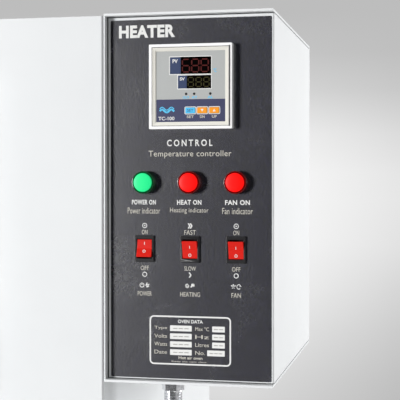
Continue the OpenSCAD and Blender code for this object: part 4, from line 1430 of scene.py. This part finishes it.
    def _displays(self) -> None:
        """Makes the two dark windows, their tabs and their unlit digits."""
        shape = Shape()
        shape.join(softened("display_windows", 0.1 * MM), DISPLAY)
        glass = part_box("display_windows")[0].y
        for words, x, z, text_x, text_z in (
            ("PV", (-118.4, -106.0), (352.9, 371.8), (-115.4, -109.4), (365.2, 369.6)),
            ("SV", (-109.0, -99.0), (336.4, 350.9), (-107.0, -101.2), (345.4, 349.0)),
        ):
            tab = rounded_plate((x[1] - x[0]) * MM, (z[1] - z[0]) * MM, 1.5 * PRINT)
            shape.join(tab, INK_SLATE, self._spot(sum(x) / 2, sum(z) / 2))
            print_on(shape, Legend(words, text_x, text_z, 0.03), INK_WHITE, self.face - 1.5 * PRINT)
        # Unlit digits, whose finishes carry a faint painted glow.
        for left, digit in zip((-104.0, -93.2, -82.3), "688"):
            self._digit(shape, digit, left, 355.0, 8.2, 14.2, 1.5, SEGMENT_RED, glass)
        for left, digit in zip((-97.4, -88.3, -79.3), "888"):
            self._digit(shape, digit, left, 338.3, 6.2, 10.4, 1.2, SEGMENT_OLIVE, glass)
        shape.leave("display_windows_finished", Body.CASING, ["display_windows"])

    def _digit(self, shape: Shape, digit: str, left: float, bottom: float, wide: float, tall: float,
               stroke: float, finish: Finish, surface: float) -> None:
        """Lays one seven-segment digit.

        Args:
            shape: The piece that it is part of.
            digit: Which digit.
            left: Its left side, in millimetres.
            bottom: Its foot, in millimetres.
            wide: Its width, in millimetres.
            tall: Its height, in millimetres.
            stroke: Width of a segment, in millimetres.
            finish: The segments' finish.
            surface: Depth of the window's face.
        """
        right, top, half = left + wide, bottom + tall, bottom + tall / 2
        gap = self.segment_gap / MM + stroke * 0.5
        places = {
            "a": ((left + gap, top), (right - gap, top)),
            "b": ((right, top - gap), (right, half + gap)),
            "c": ((right, half - gap), (right, bottom + gap)),
            "d": ((left + gap, bottom), (right - gap, bottom)),
            "e": ((left, half - gap), (left, bottom + gap)),
            "f": ((left, top - gap), (left, half + gap)),
            "g": ((left + gap, half), (right - gap, half)),
        }
        lit = {"8": "abcdefg", "6": "acdefg"}[digit]
        for name in lit:
            (x0, z0), (x1, z1) = places[name]
            a, b = PANEL.at(x0, z0), PANEL.at(x1, z1)
            part = bar((a.x, a.z), (b.x, b.z), stroke * MM, PRINT, 0.3 * MM)
            shape.join(part, finish, Vector((0, surface, 0)))

    def _key(self, name: str, body: Body, x: float) -> None:
        """Makes one key with its print.

        Args:
            name: The CAD node.
            body: The body it rides on.
            x: Its middle on the panel, in millimetres.
        """
        shape = Shape()
        cap = KEY_CYAN if name == "set_key" else KEY_ORANGE
        shape.join(softened(name, 0.3 * MM), cap)
        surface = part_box(name)[0].y
        if name == "set_key":
            print_on(shape, centred("SET", x, 7.2, (310.0, 313.0), 0.01), INK_NAVY, surface)
        else:
            sign = "▼" if name == "down_key" else "▲"
            print_on(shape, centred(sign, x, 3.6, (310.0, 313.0)), INK_WHITE, surface)
        shape.leave(f"{name}_finished", body, [name])


@dataclass
class LampRow:
    """The three indicator lamps.

    Attributes:
        face: Radius of a lens's bright face.
    """

    face: float = 10.7 * MM

    def build(self) -> None:
        """Makes the three lenses and their bodies."""
        dress("lamp_bodies", BLACK)
        for node, slot, bright, ring in (
            ("power_lamp", "green_lens", GREEN_FACE, GREEN_RING),
            ("heating_lamp", "red_lens", RED_FACE, RED_RING),
            ("fan_lamp", "red_lens", RED_FACE, RED_RING),
        ):
            self._lens(node, bright, ring)

    def _lens(self, node: str, bright: Finish, ring: Finish) -> None:
        """Turns one lens: a flanged ring of clear plastic round a frosted face.

        Args:
            node: The CAD node it stands for.
            bright: Finish of its face.
            ring: Finish of its ring.
        """
        low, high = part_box(node)
        place = Vector(((low.x + high.x) / 2, PANEL.surface, (low.z + high.z) / 2))
        out, flange = PANEL.surface - low.y, (high.x - low.x) / 2
        face = self.face
        wide = flange + 0.5 * MM
        body = [(0, 0), (wide - 0.3 * MM, 0), (wide, 0.3 * MM), (wide, out - 3.0 * MM),
                (wide - 0.15 * MM, out - 2.4 * MM), (wide - 0.5 * MM, out - 2.0 * MM),
                (face + 0.4 * MM, out - 1.8 * MM), (face + 0.25 * MM, out - 2.6 * MM),
                (0, out - 2.6 * MM)]
        dome = [(0, out - 2.5 * MM), (face - 0.1 * MM, out - 2.5 * MM), (face, out - 1.5 * MM),
                (face - 0.3 * MM, out - 0.95 * MM), (face - 1.0 * MM, out - 0.55 * MM),
                (face * 0.6, out - 0.15 * MM), (face * 0.3, out - 0.03 * MM), (0, out)]
        shape = Shape()
        shape.join(turned(body, 64), ring, place)
        shape.join(turned(dome, 64), bright, place)
        shape.leave(f"{node}_finished", Body.CASING, [node], smooth=30)


@dataclass
class SwitchRow:
    """The three rocker switches.

    Attributes:
        edge: Radius of the caps' edges.
        mark: Height of the signs on the caps.
        flange: Width and height of a frame's flange.
        middle: Height of the switches' middle over the panel's corner.
    """

    edge: float = 0.5 * MM
    mark: float = 3.5 * MM
    flange: tuple[float, float] = (22.8 * MM, 30.6 * MM)
    middle: float = 154 * MM

    def build(self) -> None:
        """Makes the frames and the three caps."""
        self._frames()
        for node, body, on, off in (
            ("power_rocker", Body.POWER_SWITCH, 6.2, -2.8),
            ("heating_rocker", Body.HEATING_SWITCH, 2.4, -6.8),
            ("fan_rocker", Body.FAN_SWITCH, 2.0, -6.9),
        ):
            self._cap(node, body, on, off)

    def _frames(self) -> None:
        """Makes the snap-in frames, each with a flange round it."""
        shape = Shape()
        shape.join(softened("switch_frames", 0.35 * MM), BLACK)
        for node in ("power_rocker", "heating_rocker", "fan_rocker"):
            low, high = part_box(node)
            middle = Vector(((low.x + high.x) / 2, PANEL.surface, PANEL.corner.z + self.middle))
            flange = ring_plate(*self.flange, 1.8 * MM, 2.6 * MM, 1.3 * MM, 0.4 * MM)
            shape.join(flange, BLACK, middle)
        shape.leave("switch_frames_finished", Body.CASING, ["switch_frames"])

    def _cap(self, node: str, body: Body, on: float, off: float) -> None:
        """Makes one cap with its on and off signs.

        Args:
            node: The CAD node it stands for.
            body: The body it rides on.
            on: Height of the upper sign over the middle, in millimetres.
            off: Height of the lower sign.
        """
        shape = Shape()
        cap = softened(node, self.edge, 30)
        skin = BVHTree.FromBMesh(cap)
        low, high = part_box(node)
        for height in (on, off):
            level = PANEL.corner.z + self.middle + height * MM
            start = Vector(((low.x + high.x) / 2, low.y - 20 * MM, level))
            spot, facing, _, _ = skin.ray_cast(start, Vector((0, 1, 0)))
            place = facing_from(spot, facing)
            if height == on:
                part = rounded_plate(0.75 * MM, self.mark, 0.1 * MM, 0.3 * MM)
            else:
                part = ring_plate(self.mark, self.mark, 0.1 * MM, 0.62 * MM, self.mark * 0.46)
            shape.join(part, INK_WHITE, place)
        # The red cap's finish carries a painted glow.
        shape.join(cap, RED_CAP)
        shape.leave(f"{node}_finished", body, [node])


@dataclass
class ConduitRun:
    """The corrugated conduit from the box to the case, with its glands.

    Attributes:
        groove: Depth of the corrugation.
        pitch: Distance from one ridge to the next.
        bend: Radius of its bend.
        gland: How far a gland stands out of the box.
        ferrule: Radius of the ferrule's ribs and of the grooves between them.
    """

    groove: float = 0.9 * MM
    pitch: float = 3.0 * MM
    bend: float = 42 * MM
    gland: float = 19 * MM
    ferrule: tuple[float, float] = (10.9 * MM, 9.9 * MM)

    def build(self) -> None:
        """Makes the conduit and the glands."""
        soft_copy("cable_glands", Body.CASING, HOSE, 0.35 * MM)
        low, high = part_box("conduit")
        radius = (high.y - low.y) / 2
        top = Vector((high.x - radius, (low.y + high.y) / 2, high.z))
        end = Vector((low.x, top.y, low.z + radius))
        path = self._path(top, end)
        shape = Shape()
        shape.join(self._swept(path, radius), HOSE)
        self._ferrule(shape, top)
        shape.leave("conduit_finished", Body.CASING, ["conduit"], smooth=60)

    def _ferrule(self, shape: Shape, top: Vector) -> None:
        """Turns the ribbed ferrule that the conduit hangs from.

        Args:
            shape: The piece it is part of.
            top: The conduit's upper end.
        """
        rib, dip = self.ferrule
        profile = [(0, 0), (10.7 * MM, 0)]
        for step in range(4):
            out = (1 + 3.2 * step) * MM
            profile += [(rib, out), (rib, out + 2 * MM), (dip, out + 2.4 * MM),
                        (dip, out + 2.9 * MM)]
        profile += [(10.4 * MM, 14.2 * MM), (9.6 * MM, 14.6 * MM), (0, 14.6 * MM)]
        seat = Vector((top.x, top.y, PANEL.corner.z - self.gland))
        down = Matrix.Rotation(math.pi / 2, 4, "X")
        shape.join(turned(profile), HOSE, Matrix.Translation(seat) @ down)

    def _path(self, top: Vector, end: Vector) -> list[tuple[Vector, float]]:
        """Lays the centre line as points and how far each has turned.

        Args:
            top: Where it starts, going down.
            end: Where it ends, going towards -X.

        Returns:
            Points, each with its turn about Y.
        """
        step = self.pitch / 4
        drop = top.z - end.z - self.bend
        run = top.x - end.x - self.bend
        quarter = self.bend * math.pi / 2
        total = drop + quarter + run
        places = []
        count = round(total / step)
        for i in range(count + 1):
            s = total * i / count
            if s <= drop:
                places.append((top - Vector((0, 0, s)), 0.0))
            elif s <= drop + quarter:
                a = (s - drop) / self.bend
                centre = Vector((top.x - self.bend, top.y, end.z + self.bend))
                places.append((centre + self.bend * Vector((math.cos(a), 0, -math.sin(a))), a))
            else:
                along = s - drop - quarter
                places.append((Vector((top.x - self.bend - along, top.y, end.z)), math.pi / 2))
        return places

    def _swept(self, path: Sequence[tuple[Vector, float]], radius: float) -> bmesh.types.BMesh:
        """Extrudes a circle along the path, in and out with each ridge.

        Args:
            path: Points of the centre line, each with its turn about Y.
            radius: Radius over the ridges.

        Returns:
            A closed mesh.
        """
        bm = bmesh.new()
        bmesh.ops.create_circle(bm, cap_ends=False, radius=1.0, segments=28)
        rim = bm.edges[:]
        bmesh.ops.contextual_create(bm, geom=rim)
        last = Matrix()
        for i, (centre, turn) in enumerate(path):
            wide = radius - self.groove * (0.0, 0.5, 1.0, 0.5)[i % 4]
            now = Matrix.Translation(centre) @ Matrix.Rotation(turn, 4, "Y") @ Matrix.Diagonal(
                (wide, wide, 1, 1))
            if i:
                grown = bmesh.ops.extrude_edge_only(bm, edges=rim)["geom"]
                rim = [g for g in grown if isinstance(g, bmesh.types.BMEdge)]
            moved = list({v for e in rim for v in e.verts})
            bmesh.ops.transform(bm, verts=moved, matrix=now @ last.inverted())
            last = now
        bmesh.ops.edgeloop_fill(bm, edges=rim)
        bmesh.ops.recalc_face_normals(bm, faces=bm.faces)
        return bm


# Studio -----------------------------------------------------------------


# How high each band of the backdrop stands, from 0 to 1, and its greys beside and behind the part.
BANDS = (0.0, 0.1, 0.15, 0.173, 0.206, 0.272, 0.337, 0.403, 0.469, 0.51, 0.569, 0.635, 0.69, 0.75,
         0.85, 1.0)
WALL = (200, 196, 192, 189, 193, 203, 214, 226, 230, 229, 219, 200, 191, 189, 188, 186)
GLOW = (205, 214, 216, 218, 223, 236, 250, 255, 255, 255, 247, 218, 199, 189, 188, 186)


@dataclass
class Studio:
    """The floor, the backdrop light, the lamps and the camera.

    Attributes:
        floor_radius: Radius of the pale floor.
        fill: How strongly the backdrop lights the object.
        around: How much more strongly it does from above, below, the sides and the back.
        eye: The camera's place from the panel's corner.
        lens: Focal length, in millimetres on a 36 mm sensor.
        tilt: How far it looks down, in degrees.
        pan: How far it is turned to the left, in degrees.
    """

    floor_radius: float = 1.65
    fill: float = 0.015
    around: float = 0.85
    eye: tuple[float, float, float] = (0.17628, -1.21602, 0.23310)
    lens: float = 98.51
    tilt: float = 1.059
    pan: float = 12.127

    def build(self) -> None:
        """Sets up everything that isn't the object."""
        self._camera()
        self._world()
        self._floor()
        key = self._lamp("key", (-9.2, -9.5, 0.78), (0.35, -0.26, 0.62), 3.0, 3.6, 2080.0)
        self._pass_by(key, ("door", "outer_shell", "catch_magnet"))
        self._lamp("front", (3.2, -4.36, 1.2), (0.35, -0.26, 0.6), 2.2, 1.8, 20.0)
        self._lamp("side", (2.53, 1.49, 0.72), (0.4, 0.0, 0.6), 1.4, 1.2, 59.0)
        self._lamp("top", (0.2, -0.3, 3.2), (0.1, 0.0, 0.5), 1.8, 1.8, 24.0)

    def _camera(self) -> None:
        """Places the camera."""
        data = bpy.data.cameras.new("camera")
        data.lens, data.sensor_width = self.lens, 36.0
        data.clip_start, data.clip_end = 0.05, 60.0
        camera = bpy.data.objects.new("camera", data)
        camera.location = PANEL.corner + Vector(self.eye)
        camera.rotation_euler = (math.radians(90 - self.tilt), 0, math.radians(self.pan))
        bpy.context.scene.collection.objects.link(camera)
        bpy.context.scene.camera = camera
        bpy.context.scene.view_settings.view_transform = "Standard"

    def _lamp(self, name: str, place: tuple[float, float, float], aim: tuple[float, float, float],
              width: float, height: float, power: float) -> bpy.types.Object:
        """Hangs a soft box.

        Args:
            name: Its name.
            place: Where it hangs.
            aim: What it faces.
            width: Its width.
            height: Its height.
            power: Its power in watts.

        Returns:
            The lamp.
        """
        data = bpy.data.lights.new(name, "AREA")
        data.shape, data.size, data.size_y, data.energy = "RECTANGLE", width, height, power
        lamp = bpy.data.objects.new(name, data)
        lamp.location = place
        away = Vector(place) - Vector(aim)
        lamp.rotation_euler = away.to_track_quat("Z", "Y").to_euler()
        lamp.visible_camera = False
        bpy.context.scene.collection.objects.link(lamp)
        return lamp

    @staticmethod
    def _pass_by(lamp: bpy.types.Object, names: tuple[str, ...]) -> None:
        """Lets a lamp's light past some pieces, which then cast no shadow from it.

        Args:
            lamp: The lamp.
            names: How the pieces' names start.
        """
        passed = bpy.data.collections.new(f"{lamp.name} passes by")
        lamp.light_linking.blocker_collection = passed
        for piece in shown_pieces():
            if piece.name.startswith(names):
                passed.objects.link(piece)
        for entry in passed.collection_objects:
            entry.light_linking.link_state = "EXCLUDE"

    def _world(self) -> None:
        """Paints the backdrop by direction: a pale glow low behind the object, greyer all round."""
        world = bpy.data.worlds.new("backdrop")
        bpy.context.scene.world = world
        world.use_nodes = True
        wiring = Wiring(world.node_tree)
        way = wiring.node("ShaderNodeTexCoord").outputs["Generated"]
        split = wiring.node("ShaderNodeSeparateXYZ", {0: way})
        height = wiring.ramp(split.outputs["Z"], -0.3, 0.3)
        round_about = wiring.math("ARCTAN2", split.outputs["X"], split.outputs["Y"])
        aside = wiring.math("ADD", round_about, math.radians(self.pan))
        aside = wiring.node("ShaderNodeMath", {0: aside}, operation="ABSOLUTE").outputs[0]
        near = wiring.ramp(aside, math.radians(10.4), math.radians(2.0))
        wall = self._bands(wiring, height, WALL)
        glow = self._bands(wiring, height, GLOW)
        seen = wiring.node("ShaderNodeMix", {"Factor": near, 6: wall, 7: glow}, data_type="RGBA")
        camera = wiring.node("ShaderNodeLightPath").outputs["Is Camera Ray"]
        around = wiring.ramp(split.outputs["Y"], -0.8, -0.45)
        lit = wiring.math("ADD", wiring.math("MULTIPLY", around, self.around), self.fill)
        strength = wiring.node("ShaderNodeMapRange", {"Value": camera, "To Min": lit})
        back = wiring.node("ShaderNodeBackground",
                           {"Color": seen.outputs[2], "Strength": strength.outputs[0]})
        wiring.node("ShaderNodeOutputWorld", {"Surface": back.outputs[0]})

    @staticmethod
    def _bands(wiring: Wiring, height: Any, greys: Sequence[int]) -> bpy.types.NodeSocket:
        """Makes a ramp of greys from low to high directions.

        Args:
            wiring: The world's tree.
            height: The socket that says how high a direction is, from 0 to 1.
            greys: The greys, which stand at BANDS.

        Returns:
            The socket of the colour.
        """
        ramp = wiring.node("ShaderNodeValToRGB", {0: height})
        stops = list(zip(BANDS, (linear(f"{grey:02X}" * 3) for grey in greys)))
        for element, (position, colour) in zip(ramp.color_ramp.elements, (stops[0], stops[-1])):
            element.position, element.color = position, colour
        for position, colour in stops[1:-1]:
            ramp.color_ramp.elements.new(position).color = colour
        return ramp.outputs[0]

    def _floor(self) -> None:
        """Lays a pale round floor that fades into the backdrop at its rim."""
        bm = bmesh.new()
        bmesh.ops.create_circle(bm, cap_ends=True, radius=self.floor_radius, segments=96)
        mesh = bpy.data.meshes.new("floor")
        bm.to_mesh(mesh)
        bm.free()
        floor = bpy.data.objects.new("floor", mesh)
        material = bpy.data.materials.new("pale floor")
        material.use_nodes = True
        wiring = Wiring(material.node_tree)
        place = wiring.node("ShaderNodeTexCoord").outputs["Object"]
        away = wiring.node("ShaderNodeVectorMath", {0: place}, operation="LENGTH").outputs["Value"]
        fade = wiring.ramp(away, self.floor_radius * 0.98, self.floor_radius * 0.4)
        matt = wiring.node("ShaderNodeBsdfPrincipled",
                           {"Base Color": linear("E4E4E4"), "Roughness": 0.7, "Alpha": fade})
        wiring.node("ShaderNodeOutputMaterial", {"Surface": matt.outputs[0]})
        mesh.materials.append(material)
        bpy.context.scene.collection.objects.link(floor)
        floor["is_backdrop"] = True


def main() -> None:
    """Builds the object piece by piece, then the studio round it."""
    for assembly in (Casing(), Chamber(), Airflow(), Door(), ControlBox(), Controller(), LampRow(),
                     SwitchRow(), ConduitRun(), Studio()):
        LOG.info("building %s", type(assembly).__name__)
        assembly.build()
    bpy.context.view_layer.update()


if __name__ == "__main__":
    logging.basicConfig(level=logging.INFO, format="%(message)s", stream=sys.stdout)
    main()
